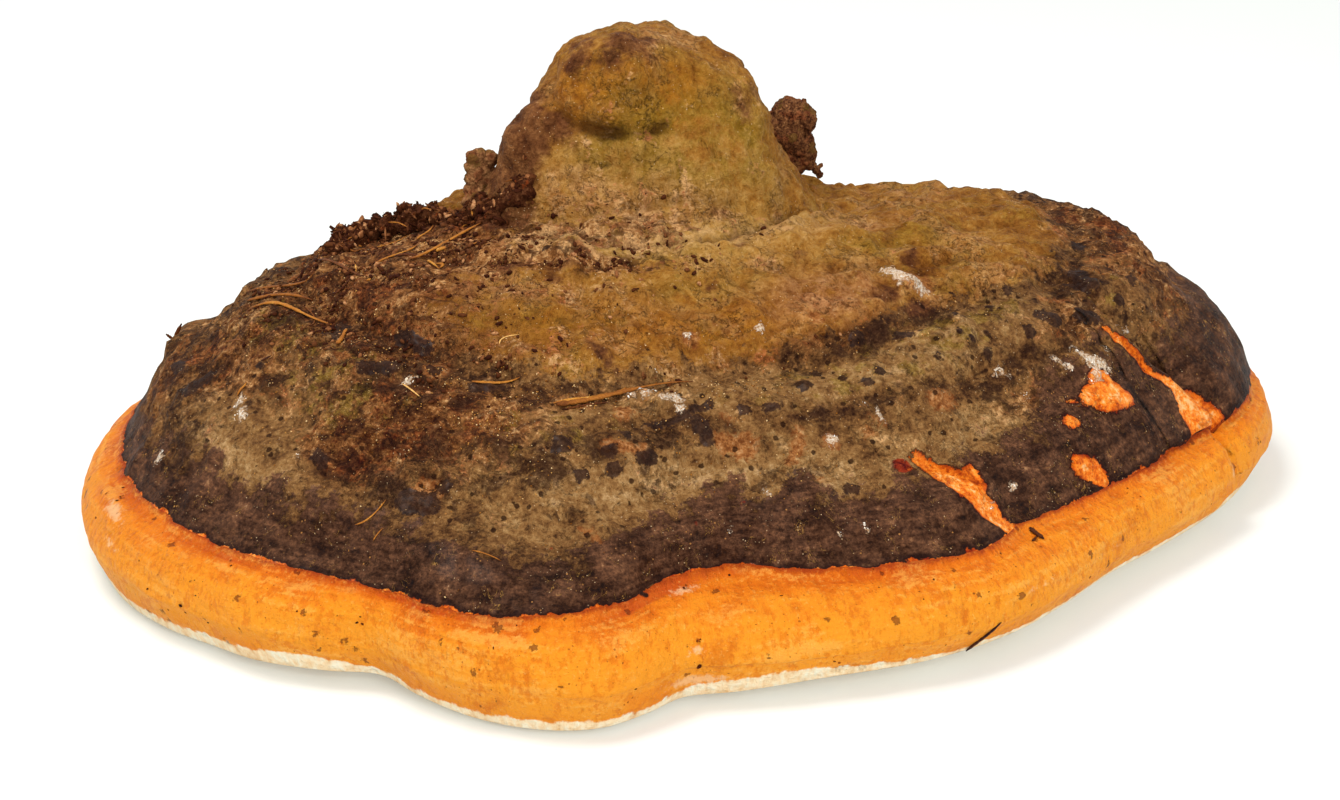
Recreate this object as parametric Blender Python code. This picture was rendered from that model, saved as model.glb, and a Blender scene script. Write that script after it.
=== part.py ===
"""A red-belted bracket fungus that rests on its pore face, with the litter stuck to its top.

Lengths are in millimetres and are measured from the hub, the upright axis that the growth rings
share. MM turns them into metres and HUB says where that axis stands. -Y is the front. The side
that grew on the trunk faces +Y and is cut flat.

A place on the bracket is a direction in degrees round the hub, seen from above, and a growth: -1
at the knob's top, 0 at its foot, 1 at the crust's edge, 2 at the lip and 3 under the hub.
"""
import bmesh
import bpy
import numpy as np
from mathutils import Vector, noise
from mathutils.bvhtree import BVHTree

MM = 0.001
HUB = (-9.0, 39.8)  # puts the origin in the middle of the footprint
TRUNK_SIDE = 34.0  # the flat cut, this far behind the hub

# Outlines seen from above, as (direction, distance from the hub)
RIM = [
    (-180, 117), (-172, 120), (-165, 121.5), (-157, 122), (-150, 120.5), (-144, 118.5), (-138, 117.5),
    (-131, 114), (-126, 110.5), (-121, 113.5), (-115, 116.5), (-108, 118), (-103, 116.5), (-99, 111.5),
    (-95.5, 106.5), (-90, 106.5), (-80, 107), (-70, 109.5), (-60, 110.5), (-50, 110), (-42, 110.5),
    (-35, 114), (-28, 119), (-21, 125), (-14, 131), (-8, 135.5), (0, 137), (8, 134), (16, 123),
    (24, 108), (35, 90), (60, 78), (90, 76), (120, 78), (148, 84), (158, 98), (166, 109), (173, 114),
]
CRUST_EDGE = [
    (-180, 109), (-165, 112), (-155, 111.5), (-146, 110.5), (-138, 108.5), (-131, 106.5), (-124, 107),
    (-118, 109.5), (-112, 110), (-106, 106), (-101, 100), (-98, 93.5), (-94, 89), (-88, 87), (-84, 90),
    (-76, 94.5), (-67, 99), (-60, 101), (-53, 98.5), (-45, 101), (-38, 104), (-32, 108), (-25, 112.5),
    (-19, 119), (-14, 125), (-8, 130), (0, 133), (8, 130), (16, 118), (24, 102), (35, 86), (60, 75),
    (90, 73), (120, 74), (148, 80), (158, 92), (166, 101.5), (173, 106.5),
]
OLD_EDGE = [
    (-180, 112), (-150, 112), (-120, 106), (-90, 93), (-60, 97), (-35, 106), (-15, 122), (0, 132),
    (15, 120), (28, 95), (60, 74), (90, 71), (120, 74), (150, 80), (165, 102),
]
CROWN = [  # (direction, height of the crown's top, how square its shoulder is)
    (-180, 55, 2.4), (-170, 57, 2.3), (-160, 58.5, 2.0), (-120, 61.5, 1.7), (-90, 62, 1.45),
    (-60, 61, 1.7), (-40, 58.5, 2.4), (-25, 56, 3.5), (-8, 54.3, 5.0), (8, 54.2, 5.4), (22, 53.6, 4.6),
    (40, 55, 3.6), (90, 58, 2.2), (140, 54.5, 2.3), (160, 56, 2.1), (170, 55, 2.3),
]
LIP = [  # (direction, height of the lip above what the pore face rests on)
    (-180, 2.0), (-150, 1.5), (-128, 3.0), (-112, 1.2), (-96, 2.0), (-80, 3.5), (-50, 4.5), (-25, 4.0),
    (0, 2.5), (90, 0.5), (150, 1.5),
]
CRUST_EDGE_HEIGHT = 20.0
CRUST_THICKNESS = 1.2
CRUST_LAP = 0.06  # the part of the rim's depth over which the crust's edge steps down to it
RIM_HEIGHT = 9.5  # where the rim reaches furthest out
BULGE_SHARE = 0.62  # of the way down the rim, where it reaches furthest out
RIM_FULLNESS = 0.9  # under 1, the rim swells out sooner
LIP_INSET = 3.0
PORE_DISH = 0.16  # the lip comes down to the flat over this part of the pore face

KNOB_FOOT = {"x": 1.5, "y": 10.0, "half_width": 40.0, "front": 22.0, "back": 42.0}
KNOB_TOP = (2.5, 12.0, 96.0)
KNOB_SIDE = [  # (part of the way out, part of the height)
    (0, 1), (0.2, 0.985), (0.38, 0.92), (0.52, 0.785), (0.62, 0.59), (0.72, 0.39), (0.83, 0.19),
    (0.92, 0.06), (1, 0),
]

SWELLINGS = [  # (x, y, z, radius, height): on the knob, on the crown, then on the shoulders
    (-8, 1, 89, 11, 3.8), (-25, 5, 76, 8, 3.4), (-22, -1, 70, 8, 1.6), (20, -3, 74, 10, 1.5),
    (-18, 9, 90, 6, -2.1), (14, 10, 95, 8, -2.3), (24, 9, 82, 7, 1.6), (27, 8, 76, 6, 0.6),
    (55, 2, 57, 13, 1.6), (72, 4, 56, 11, 1.8), (40, -20, 56, 10, 1.3), (26, -20, 58, 8, 1.0),
    (-21, -22, 60, 9, 1.0), (-44, -30, 56, 10, 1.2), (6, -32, 55, 9, 0.9), (-8, -40, 54, 9, 0.8),
    (38, -49, 47, 8, 1.6), (54, -44, 48, 8, 1.6), (70, -36, 47, 8, 1.4), (86, -28, 45, 8, 1.0),
    (84, -44, 36, 11, 1.8), (-60, -60, 40, 12, 1.0), (-86, -30, 40, 12, 1.0), (115, 9, 43, 7, -2.4),
    (116, -3, 43, 7, -2.6), (-97, 14, 32, 9, 2.2), (95, 30, 52, 9, -0.8), (-62, 28, 52, 9, -1.0),
    (91, -49, 31, 8, 1.0), (113, -24, 36, 8, -1.4),
]
FOLD = [  # at the right, where one lobe of the crown laps over the next
    (-22, 0.66), (-23, 0.78), (-22.3, 0.84), (-20.8, 0.90), (-19.8, 0.95), (-19, 1.0), (-20.5, 1.3),
    (-22, 1.9),
]
UNDER_THE_BOSS = [(-150, -0.42), (-134, -0.365), (-122, -0.35), (-112, -0.335), (-98, -0.33), (-84, -0.345)]
KNOB_CREASE = [(-140, 0.03), (-127, -0.03), (-112, -0.055), (-97, -0.089), (-82, -0.11), (-66, -0.09)]
GROOVES = [(3.6, 2.6, UNDER_THE_BOSS), (1.0, 2.6, KNOB_CREASE), (2.6, 2.4, FOLD)]  # (depth, half width, line)
RINGS = [  # growth rings, as (growth, half width, height)
    (0.28, 0.05, -0.6), (0.46, 0.06, 0.8), (0.56, 0.035, -1.6), (0.68, 0.07, 1.2), (0.82, 0.03, -0.7),
    (0.93, 0.05, 1.1),
]
RING_WANDER, WANDER_SPAN = 0.03, 25  # a growth, and degrees
ROUGHNESS, ROUGHNESS_SCALE = 0.8, 13.0
RIM_CALM = 0.7  # how much less rough the rim is than the crust

CLEARANCE = 0.45  # kept between what lies on the crown and the crown
CHIP_LUMPINESS = 0.26
WAIST_DEPTH, WAIST_WIDTH = 0.26, 0.26  # parts of the clod's width and height
CLOD = {"middle": (37.2, 27, 67.0), "size": (5.4, 5.0, 9.4), "lean": -1.6, "waist": -0.15, "seed": 1}
CHIP = {"middle": (-33.2, 14, 64.0), "size": (3.9, 6.0, 7.2), "lean": -0.4, "waist": None, "seed": 5}

HEAP = [  # the litter's ridge, as (x, y, how thick, half width)
    (-64.5, 7, 1.2, 2), (-62, 12, 3.4, 6), (-54, 14, 5.0, 8.5), (-46, 13, 5.2, 7.5), (-41.5, 8, 3.4, 4.5),
    (-37, 2, 2.2, 3), (-31, -1.5, 1.4, 2.2), (-26, -3, 0.8, 1),
]
CRUMBLE_SIZE = 5.0

NEEDLES = [  # needles and straws, as (start, end, width, bow), seen from above
    ((-27, -62), (0, -56), 1.3, 0.6),
    ((-50, -13), (-35, -5), 1.2, 0.8),
    ((-57, -10), (-48, -4), 1.0, -0.5),
    ((-83, -3), (-70, -13), 1.1, 0.5),
    ((-82, -13), (-68, -28), 1.0, 0.5),
    ((-42, -54), (-33, -55), 1.3, 0.3),
]

CRUST_COLOUR, BARK_COLOUR, LITTER_COLOUR, STRAW_COLOUR = (
    (0.16, 0.07, 0.03), (0.06, 0.03, 0.02), (0.07, 0.035, 0.02), (0.35, 0.17, 0.06)
)


def around(outline, degrees, column=1):
    """The outline's value in each direction, on a smooth closed curve through its points."""
    turn = np.array([point[0] for point in outline], float)
    value = np.array([point[column] for point in outline], float)
    turn = np.concatenate([turn[-2:] - 360, turn, turn[:3] + 360])
    value = np.concatenate([value[-2:], value, value[:3]])
    degrees = (degrees + 180) % 360 - 180
    i = np.searchsorted(turn, degrees, side="right") - 1
    span = turn[i + 1] - turn[i]
    leave = (value[i + 1] - value[i - 1]) / (turn[i + 1] - turn[i - 1]) * span
    arrive = (value[i + 2] - value[i]) / (turn[i + 2] - turn[i]) * span
    return hermite((degrees - turn[i]) / span, value[i], value[i + 1], leave, arrive)


def along(profile, place):
    """The profile's height at each place, on a smooth curve that is level at both ends."""
    at, value = np.array(profile, float).T
    slope = np.gradient(value, at)
    slope[[0, -1]] = 0
    i = np.clip(np.searchsorted(at, place, side="right") - 1, 0, len(at) - 2)
    span = at[i + 1] - at[i]
    return hermite((place - at[i]) / span, value[i], value[i + 1], slope[i] * span, slope[i + 1] * span)


def hermite(t, start, end, leave, arrive):
    return (
        (2 * t**3 - 3 * t**2 + 1) * start + (t**3 - 2 * t**2 + t) * leave
        + (3 * t**2 - 2 * t**3) * end + (t**3 - t**2) * arrive
    )


def ease(start, end, value):
    t = np.clip((value - start) / (end - start), 0, 1)
    return t * t * (3 - 2 * t)


def bracket_surface(degrees, growth):
    """Points of the smooth bracket."""
    across, back = np.cos(np.radians(degrees)), np.sin(np.radians(degrees))
    rim, edge, old = around(RIM, degrees), around(CRUST_EDGE, degrees), around(OLD_EDGE, degrees)
    top, squareness = around(CROWN, degrees, 1), around(CROWN, degrees, 2)
    lip = around(LIP, degrees)
    foot_x = KNOB_FOOT["x"] + KNOB_FOOT["half_width"] * across
    foot_y = KNOB_FOOT["y"] + np.where(back < 0, KNOB_FOOT["front"], KNOB_FOOT["back"]) * back

    out = np.clip(growth + 1, 0, 1)
    knob = (
        KNOB_TOP[0] + (foot_x - KNOB_TOP[0]) * out,
        KNOB_TOP[1] + (foot_y - KNOB_TOP[1]) * out,
        top + (KNOB_TOP[2] - top) * along(KNOB_SIDE, out),
    )
    out = np.clip(growth, 0, 1)
    reach = old + (edge - old) * out**3
    crown = (
        foot_x + (reach * across - foot_x) * out,
        foot_y + (reach * back - foot_y) * out,
        CRUST_EDGE_HEIGHT + (top - CRUST_EDGE_HEIGHT) * (1 - out**squareness),
    )
    down = np.clip(growth - 1, 0, 1)
    bulge, tuck = np.clip(down / BULGE_SHARE, 0, 1) * np.pi / 2, ease(BULGE_SHARE, 1, down)
    start = CRUST_EDGE_HEIGHT - CRUST_THICKNESS * ease(0, CRUST_LAP, down)
    reach = edge + (rim - edge) * np.sin(bulge) ** RIM_FULLNESS - LIP_INSET * tuck
    rim_band = (
        reach * across,
        reach * back,
        start + (RIM_HEIGHT - start) * (1 - np.cos(bulge)) + (lip - RIM_HEIGHT) * tuck,
    )
    inward = np.clip(growth - 2, 0, 1)
    reach = (rim - LIP_INSET) * (1 - inward)
    pore_face = (reach * across, reach * back, lip * (1 - ease(0, PORE_DISH, inward)))

    zones = [growth <= 0, growth <= 1, growth <= 2]
    return np.stack(
        [np.select(zones, choices[:3], choices[3]) for choices in zip(knob, crown, rim_band, pore_face)], -1
    )


def distance_to_line(points, line):
    """How far each point is from a line of places on the bracket."""
    degrees, growth = np.array(line, float).T
    corners = bracket_surface(degrees, growth)
    nearest = np.full(len(points), np.inf)
    for start, end in zip(corners[:-1], corners[1:]):
        run = end - start
        t = np.clip((points - start) @ run / (run @ run), 0, 1)
        nearest = np.minimum(nearest, np.linalg.norm(points - start - t[:, None] * run, axis=1))
    return nearest


def relief(points, degrees, growth):
    """How far each point stands out from the smooth bracket: swellings, grooves, rings and roughness."""
    height = np.zeros(len(points))
    for x, y, z, radius, amount in SWELLINGS:
        away = np.linalg.norm(points - (x, y, z), axis=1)
        height += amount * np.exp(-((away / radius) ** 2))
    for depth, half_width, line in GROOVES:
        height -= depth * np.exp(-((distance_to_line(points, line) / half_width) ** 2))
    wander = np.array([noise.noise(Vector((turn / WANDER_SPAN, 3, 0))) for turn in degrees])
    for place, half_width, amount in RINGS:
        off = growth + RING_WANDER * wander - place
        height += amount * np.exp(-((off / half_width) ** 2)) * ((growth > 0) & (growth < 1))
    rough = np.array([noise.fractal(Vector(point) / ROUGHNESS_SCALE, 0.9, 2, 3) for point in points])
    calm = 1 - RIM_CALM * ease(0.97, 1.02, growth)  # from just inside the crust's edge to just outside
    above_the_lip = 1 - ease(1.7, 1.95, growth)
    return (height + ROUGHNESS * rough * calm) * above_the_lip


def new_object(name, mesh, collection, colour, roughness):
    material = bpy.data.materials.new(name)
    material.use_nodes = True
    surface = material.node_tree.nodes["Principled BSDF"]
    surface.inputs["Base Color"].default_value = (*colour, 1)
    surface.inputs["Roughness"].default_value = roughness
    surface.inputs["Metallic"].default_value = 0
    mesh.materials.append(material)
    piece = bpy.data.objects.new(name, mesh)
    collection.objects.link(piece)
    return piece


def mesh_from(bm, name):
    mesh = bpy.data.meshes.new(name)
    bm.to_mesh(mesh)
    bm.free()
    mesh.shade_smooth()
    return mesh


def make_bracket(collection, cutters):
    """A sphere whose latitude becomes growth and whose longitude becomes direction."""
    turns, rings = 90, 48
    front_loading = 0.35  # radians: the hidden side gets fewer points
    latitudes = [0, 0.25, 0.66, 0.88, 1]  # of the growths -1 to 3, as parts of the way to the sphere's foot
    bm = bmesh.new()
    bmesh.ops.create_uvsphere(bm, u_segments=turns, v_segments=rings, radius=1)
    sphere = np.array([vertex.co for vertex in bm.verts])
    longitude = np.arctan2(sphere[:, 1], sphere[:, 0])
    degrees = np.degrees(longitude - front_loading * np.cos(longitude))
    latitude = np.arccos(np.clip(sphere[:, 2], -1, 1)) / np.pi
    growth = np.interp(latitude, latitudes, [-1, 0, 1, 2, 3])
    points = bracket_surface(degrees, growth)
    for vertex, point in zip(bm.verts, points):
        vertex.co = point
    bm.normal_update()
    normals = np.array([vertex.normal for vertex in bm.verts])
    points += normals * relief(points, degrees, growth)[:, None]
    for vertex, point in zip(bm.verts, points):
        vertex.co = Vector(point + (*HUB, 0)) * MM
    bracket = new_object("bracket", mesh_from(bm, "bracket"), collection, CRUST_COLOUR, 0.7)

    cutter_size = (0.4, 0.1, 0.3)  # larger than the bracket, and 0.1 m deep
    block = bmesh.new()
    bmesh.ops.create_cube(block, size=1)
    cutter = bpy.data.objects.new("trunk_side_cutter", mesh_from(block, "trunk_side_cutter"))
    cutter.scale = cutter_size
    cutter.location = (0, (HUB[1] + TRUNK_SIDE) * MM + cutter_size[1] / 2, 0)
    cutter.hide_render = True
    cutter.display_type = "WIRE"
    cutters.objects.link(cutter)
    cut = bracket.modifiers.new("trunk side", "BOOLEAN")
    cut.operation = "DIFFERENCE"
    cut.object = cutter
    return bracket


def ground_finder(*pieces):
    """A function that gives the height of what lies topmost under a point."""
    bpy.context.view_layer.update()
    graph = bpy.context.evaluated_depsgraph_get()
    trees = [BVHTree.FromObject(piece, graph) for piece in pieces]
    from_above = 300

    def height(x, y):
        above = Vector((x + HUB[0], y + HUB[1], from_above)) * MM
        hits = [tree.ray_cast(above, Vector((0, 0, -1)))[0] for tree in trees]
        return max(hit.z for hit in hits if hit) / MM

    return height


def make_chip(name, collection, crown, middle, size, lean, waist, seed):
    """A rough lump of bark that rests on the crown and against whatever rises beside it.

    Its lean moves the top sideways, and a waist at part of its height parts it into two lobes.
    """
    bm = bmesh.new()
    bmesh.ops.create_icosphere(bm, subdivisions=3, radius=1)
    for vertex in bm.verts:
        lumps = 1 + CHIP_LUMPINESS * noise.fractal(vertex.co * 1.4 + Vector((seed, 0, 0)), 1.0, 2, 2)
        narrow = 1.0
        if waist is not None:
            narrow -= WAIST_DEPTH * np.exp(-(((vertex.co.z - waist) / WAIST_WIDTH) ** 2))
        x, y, z = (middle[axis] + vertex.co[axis] * size[axis] * lumps for axis in range(3))
        x = middle[0] + (x - middle[0]) * narrow + lean * vertex.co.z
        y = min(middle[1] + (y - middle[1]) * narrow, TRUNK_SIDE)
        vertex.co = Vector((x + HUB[0], y + HUB[1], max(z, crown(x, y) + CLEARANCE))) * MM
    return new_object(name, mesh_from(bm, name), collection, BARK_COLOUR, 0.95)


def make_litter(collection, crown):
    """The crumbly crust of soil and rotten bark on the left shoulder: a flat lump bent along its ridge."""
    knots = np.linspace(-1, 1, len(HEAP))
    x_along, y_along, thickness, half_width = np.array(HEAP, float).T
    bm = bmesh.new()
    bmesh.ops.create_uvsphere(bm, u_segments=44, v_segments=10, radius=1)
    for vertex in bm.verts:
        place = vertex.co.x
        nearby = [place - 0.1, place + 0.1]
        x_run, y_run = (np.diff(np.interp(nearby, knots, line))[0] for line in (x_along, y_along))
        run = Vector((x_run, y_run)).normalized()
        half_disc = max(np.sqrt(max(1 - place**2, 0)), 0.3)  # of the sphere, across the ridge at this place
        ragged = 1 + 0.25 * noise.noise(Vector((vertex.co.x * 2.2, vertex.co.y * 2.2, 7)))
        aside = vertex.co.y / half_disc * np.interp(place, knots, half_width) * ragged
        x = np.interp(place, knots, x_along) - run.y * aside
        y = np.interp(place, knots, y_along) + run.x * aside
        crumbs = max(0.8 + 0.6 * noise.fractal(Vector((x, y, 0)) / CRUMBLE_SIZE, 0.8, 2, 2), 0.2)
        lift = np.interp(place, knots, thickness) * max(vertex.co.z, 0) * crumbs
        vertex.co = Vector((x + HUB[0], y + HUB[1], crown(x, y) + 2 * CLEARANCE + lift)) * MM
    return new_object("litter", mesh_from(bm, "litter"), collection, LITTER_COLOUR, 0.95)


def make_needle(name, collection, ground, start, end, width, bow):
    """A dry needle that lies on whatever is below it from start to end."""
    steps = 9
    t = np.linspace(0, 1, steps)
    x = start[0] + (end[0] - start[0]) * t
    y = start[1] + (end[1] - start[1]) * t + bow * 4 * t * (1 - t)
    around_it = [(dx, dy) for dx in (-width, 0, width) for dy in (-width, 0, width)]
    below = np.array([max(ground(px + dx, py + dy) for dx, dy in around_it) for px, py in zip(x, y)])
    bend = np.polyval(np.polyfit(t, below, 2), t)
    z = bend + (below - bend).max() + width / 2 + CLEARANCE
    curve = bpy.data.curves.new(name, "CURVE")
    curve.dimensions = "3D"
    curve.bevel_depth = width / 2 * MM
    curve.bevel_resolution = 1
    curve.use_fill_caps = True
    spline = curve.splines.new("POLY")
    spline.points.add(steps - 1)
    for point, place in zip(spline.points, zip(x, y, z)):
        point.co = (*(Vector(place) + Vector((*HUB, 0))) * MM, 1)
    return new_object(name, curve, collection, STRAW_COLOUR, 0.6)


def main():
    for leftover in list(bpy.data.objects):
        bpy.data.objects.remove(leftover)
    scene = bpy.context.scene
    pieces = bpy.data.collections.new("bracket_fungus")
    cutters = bpy.data.collections.new("cutters")
    scene.collection.children.link(pieces)
    scene.collection.children.link(cutters)

    bracket = make_bracket(pieces, cutters)
    crown = ground_finder(bracket)
    make_chip("bark_right", pieces, crown, **CLOD)
    make_chip("bark_left", pieces, crown, **CHIP)
    litter = make_litter(pieces, crown)
    ground = ground_finder(bracket, litter)
    for number, (start, end, width, bow) in enumerate(NEEDLES, 1):
        make_needle(f"needle_{number}", pieces, ground, start, end, width, bow)


main()
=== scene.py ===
"""The looks of a red-belted bracket fungus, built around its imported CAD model.

Lengths are millimetres from the hub, the upright axis that the growth rings share, and MM turns them
into metres. A place on the fungus is a direction in degrees round the hub, seen from above, and a
growth: -1 at the knob's top, 0 at its foot, 1 at the crust's edge, 2 at the lip and 3 under the hub.
"""

import bmesh
import bpy
import numpy as np
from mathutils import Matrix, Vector, noise
from mathutils.bvhtree import BVHTree


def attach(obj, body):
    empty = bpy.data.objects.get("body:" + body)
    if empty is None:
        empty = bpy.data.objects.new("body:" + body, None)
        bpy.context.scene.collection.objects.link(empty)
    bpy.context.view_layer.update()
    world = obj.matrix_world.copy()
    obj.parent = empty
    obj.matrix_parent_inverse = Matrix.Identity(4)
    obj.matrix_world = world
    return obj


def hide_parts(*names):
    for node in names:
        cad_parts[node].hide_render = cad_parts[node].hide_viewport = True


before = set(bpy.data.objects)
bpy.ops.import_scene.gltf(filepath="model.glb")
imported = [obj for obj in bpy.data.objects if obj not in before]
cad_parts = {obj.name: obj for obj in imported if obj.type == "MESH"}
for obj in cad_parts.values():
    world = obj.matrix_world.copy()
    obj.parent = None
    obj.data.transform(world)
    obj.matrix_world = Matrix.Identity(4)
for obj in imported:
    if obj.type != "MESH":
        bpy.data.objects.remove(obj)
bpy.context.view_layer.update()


# The bracket itself: one woody growth, from the knob that it started as to the newest orange rim.
# Its crust is a thin resin-stained skin over corky flesh, and its underside a layer of fine pores.
# It grew from a trunk along its back, where it is cut off flat.
MM = 0.001
HUB = (-9.0, 39.8)
TRUNK_SIDE = 34.0

# Outlines seen from above, as (direction, distance from the hub)
RIM = [
    (-180, 117), (-172, 120), (-165, 121.5), (-157, 122), (-150, 120.5), (-144, 118.5), (-138, 117.5),
    (-131, 114), (-126, 110.5), (-121, 113.5), (-115, 116.5), (-108, 118), (-103, 116.5), (-99, 111.5),
    (-95.5, 106.5), (-90, 106.5), (-80, 107), (-70, 109.5), (-60, 110.5), (-50, 110), (-42, 110.5),
    (-35, 114), (-28, 119), (-21, 125), (-14, 131), (-8, 135.5), (0, 137), (8, 134), (16, 123), (24, 108),
    (35, 90), (60, 78), (90, 76), (120, 78), (148, 84), (158, 98), (166, 109), (173, 114),
]
CRUST_EDGE = [
    (-180, 109), (-165, 112), (-155, 111.5), (-146, 110.5), (-138, 108.5), (-131, 106.5), (-124, 107),
    (-118, 109.5), (-112, 110), (-106, 106), (-101, 100), (-98, 93.5), (-94, 89), (-88, 87), (-84, 90),
    (-76, 94.5), (-67, 99), (-60, 101), (-53, 98.5), (-45, 101), (-38, 104), (-32, 108), (-25, 112.5),
    (-19, 119), (-14, 125), (-8, 130), (0, 133), (8, 130), (16, 118), (24, 102), (35, 86), (60, 75),
    (90, 73), (120, 74), (148, 80), (158, 92), (166, 101.5), (173, 106.5),
]
OLD_EDGE = [
    (-180, 112), (-150, 112), (-120, 106), (-90, 93), (-60, 97), (-35, 106), (-15, 122), (0, 132),
    (15, 120), (28, 95), (60, 74), (90, 71), (120, 74), (150, 80), (165, 102),
]
CROWN = [  # (direction, height of the crown's top, how square its shoulder is)
    (-180, 55, 2.4), (-170, 57, 2.3), (-160, 58.5, 2.0), (-120, 61.5, 1.7), (-90, 62, 1.45), (-60, 61, 1.7),
    (-40, 58.5, 2.4), (-25, 56, 3.5), (-8, 54.3, 5.0), (8, 54.2, 5.4), (22, 53.6, 4.6), (40, 55, 3.6),
    (90, 58, 2.2), (140, 54.5, 2.3), (160, 56, 2.1), (170, 55, 2.3),
]
LIP = [
    (-180, 2.0), (-150, 1.5), (-128, 3.0), (-112, 1.2), (-96, 2.0), (-80, 3.5), (-50, 4.5), (-25, 4.0),
    (0, 2.5), (90, 0.5), (150, 1.5),
]
CRUST_EDGE_HEIGHT, CRUST_THICKNESS, RIM_HEIGHT, LIP_INSET, PORE_DISH = 20.0, 1.2, 9.5, 3.0, 0.16
EDGE_WANDERS = [(0.7, 2.6), (0.35, 0.9)]  # (millimetres, degrees)
BULGE_SHARE = 0.62  # of the way down the rim, where it reaches furthest out

KNOB_FOOT = {"x": 1.5, "y": 10.0, "half_width": 40.0, "front": 22.0, "back": 42.0}
KNOB_TOP = (2.5, 12.0, 96.0)
KNOB_SIDE = [
    (0, 1), (0.2, 0.985), (0.38, 0.92), (0.52, 0.785), (0.62, 0.59), (0.72, 0.39), (0.83, 0.19),
    (0.92, 0.06), (1, 0),
]


def hermite(t, start, end, leave, arrive):
    return (
        (2 * t**3 - 3 * t**2 + 1) * start + (t**3 - 2 * t**2 + t) * leave
        + (3 * t**2 - 2 * t**3) * end + (t**3 - t**2) * arrive
    )


def around(outline, degrees, column=1):
    """The outline's value in each direction, on a smooth closed curve through its points."""
    turn = np.array([point[0] for point in outline], float)
    value = np.array([point[column] for point in outline], float)
    turn = np.concatenate([turn[-2:] - 360, turn, turn[:3] + 360])
    value = np.concatenate([value[-2:], value, value[:3]])
    degrees = (degrees + 180) % 360 - 180
    i = np.searchsorted(turn, degrees, side="right") - 1
    span = turn[i + 1] - turn[i]
    leave = (value[i + 1] - value[i - 1]) / (turn[i + 1] - turn[i - 1]) * span
    arrive = (value[i + 2] - value[i]) / (turn[i + 2] - turn[i]) * span
    return hermite((degrees - turn[i]) / span, value[i], value[i + 1], leave, arrive)


def along(profile, place):
    """The profile's height at each place, on a smooth curve that is level at both ends."""
    at, value = np.array(profile, float).T
    slope = np.gradient(value, at)
    slope[[0, -1]] = 0
    i = np.clip(np.searchsorted(at, place, side="right") - 1, 0, len(at) - 2)
    span = at[i + 1] - at[i]
    return hermite((place - at[i]) / span, value[i], value[i + 1], slope[i] * span, slope[i + 1] * span)


def ease(start, end, value):
    t = np.clip((value - start) / (end - start), 0, 1)
    return t * t * (3 - 2 * t)


def bracket_surface(degrees, growth):
    """Points of the smooth bracket."""
    across, back = np.cos(np.radians(degrees)), np.sin(np.radians(degrees))
    rim, edge, old = around(RIM, degrees), around(CRUST_EDGE, degrees), around(OLD_EDGE, degrees)
    for wander, span in EDGE_WANDERS:
        edge = edge + wander * np.array([noise.noise((turn / span, 5, 0)) for turn in degrees])
    top, squareness = around(CROWN, degrees, 1), around(CROWN, degrees, 2)
    lip = around(LIP, degrees)
    foot_x = KNOB_FOOT["x"] + KNOB_FOOT["half_width"] * across
    foot_y = KNOB_FOOT["y"] + np.where(back < 0, KNOB_FOOT["front"], KNOB_FOOT["back"]) * back

    out = np.clip(growth + 1, 0, 1)
    knob = (
        KNOB_TOP[0] + (foot_x - KNOB_TOP[0]) * out,
        KNOB_TOP[1] + (foot_y - KNOB_TOP[1]) * out,
        top + (KNOB_TOP[2] - top) * along(KNOB_SIDE, out),
    )
    out = np.clip(growth, 0, 1)
    reach = old + (edge - old) * out**3
    crown = (
        foot_x + (reach * across - foot_x) * out,
        foot_y + (reach * back - foot_y) * out,
        CRUST_EDGE_HEIGHT + (top - CRUST_EDGE_HEIGHT) * (1 - out**squareness),
    )
    down = np.clip(growth - 1, 0, 1)
    bulge, tuck = np.clip(down / BULGE_SHARE, 0, 1) * np.pi / 2, ease(BULGE_SHARE, 1, down)
    start = CRUST_EDGE_HEIGHT - CRUST_THICKNESS * ease(0, 0.06, down)
    reach = edge + (rim - edge) * np.sin(bulge) ** 0.9 - LIP_INSET * tuck
    rim_band = (
        reach * across,
        reach * back,
        start + (RIM_HEIGHT - start) * (1 - np.cos(bulge)) + (lip - RIM_HEIGHT) * tuck,
    )
    inward = np.clip(growth - 2, 0, 1)
    reach = (rim - LIP_INSET) * (1 - inward)
    pore_face = (reach * across, reach * back, lip * (1 - ease(0, PORE_DISH, inward)))

    zones = [growth <= 0, growth <= 1, growth <= 2]
    return np.stack(
        [np.select(zones, choices[:3], choices[3]) for choices in zip(knob, crown, rim_band, pore_face)], -1
    )


# A net of directions and growths over the whole bracket, closer on the front and at the crust's edge
FRONT_LOADING, FOLD_SPAN = 0.35, (-27.1, -15.3)
turns = np.linspace(-np.pi, np.pi, 450, endpoint=False)
net_directions = np.degrees(turns - FRONT_LOADING * np.cos(turns))
net_directions = np.sort(np.append(net_directions, np.linspace(*FOLD_SPAN, 22)))
net_growths = np.concatenate([
    np.linspace(-0.985, 0, 78, endpoint=False), np.linspace(0, 0.97, 104, endpoint=False),
    (0.97, 0.98, 0.988, 0.994, 1.0, 1.004, 1.012, 1.024), np.linspace(1.04, 2, 34, endpoint=False),
    np.linspace(2, 2.16, 7, endpoint=False), (2.16, 2.3, 2.5, 2.75),
])
columns, rows = len(net_directions), len(net_growths)
directions = np.append(np.tile(net_directions, rows), (0, 0))
growths = np.append(np.repeat(net_growths, columns), (-1, 3))
skin = bracket_surface(directions, growths)

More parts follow.
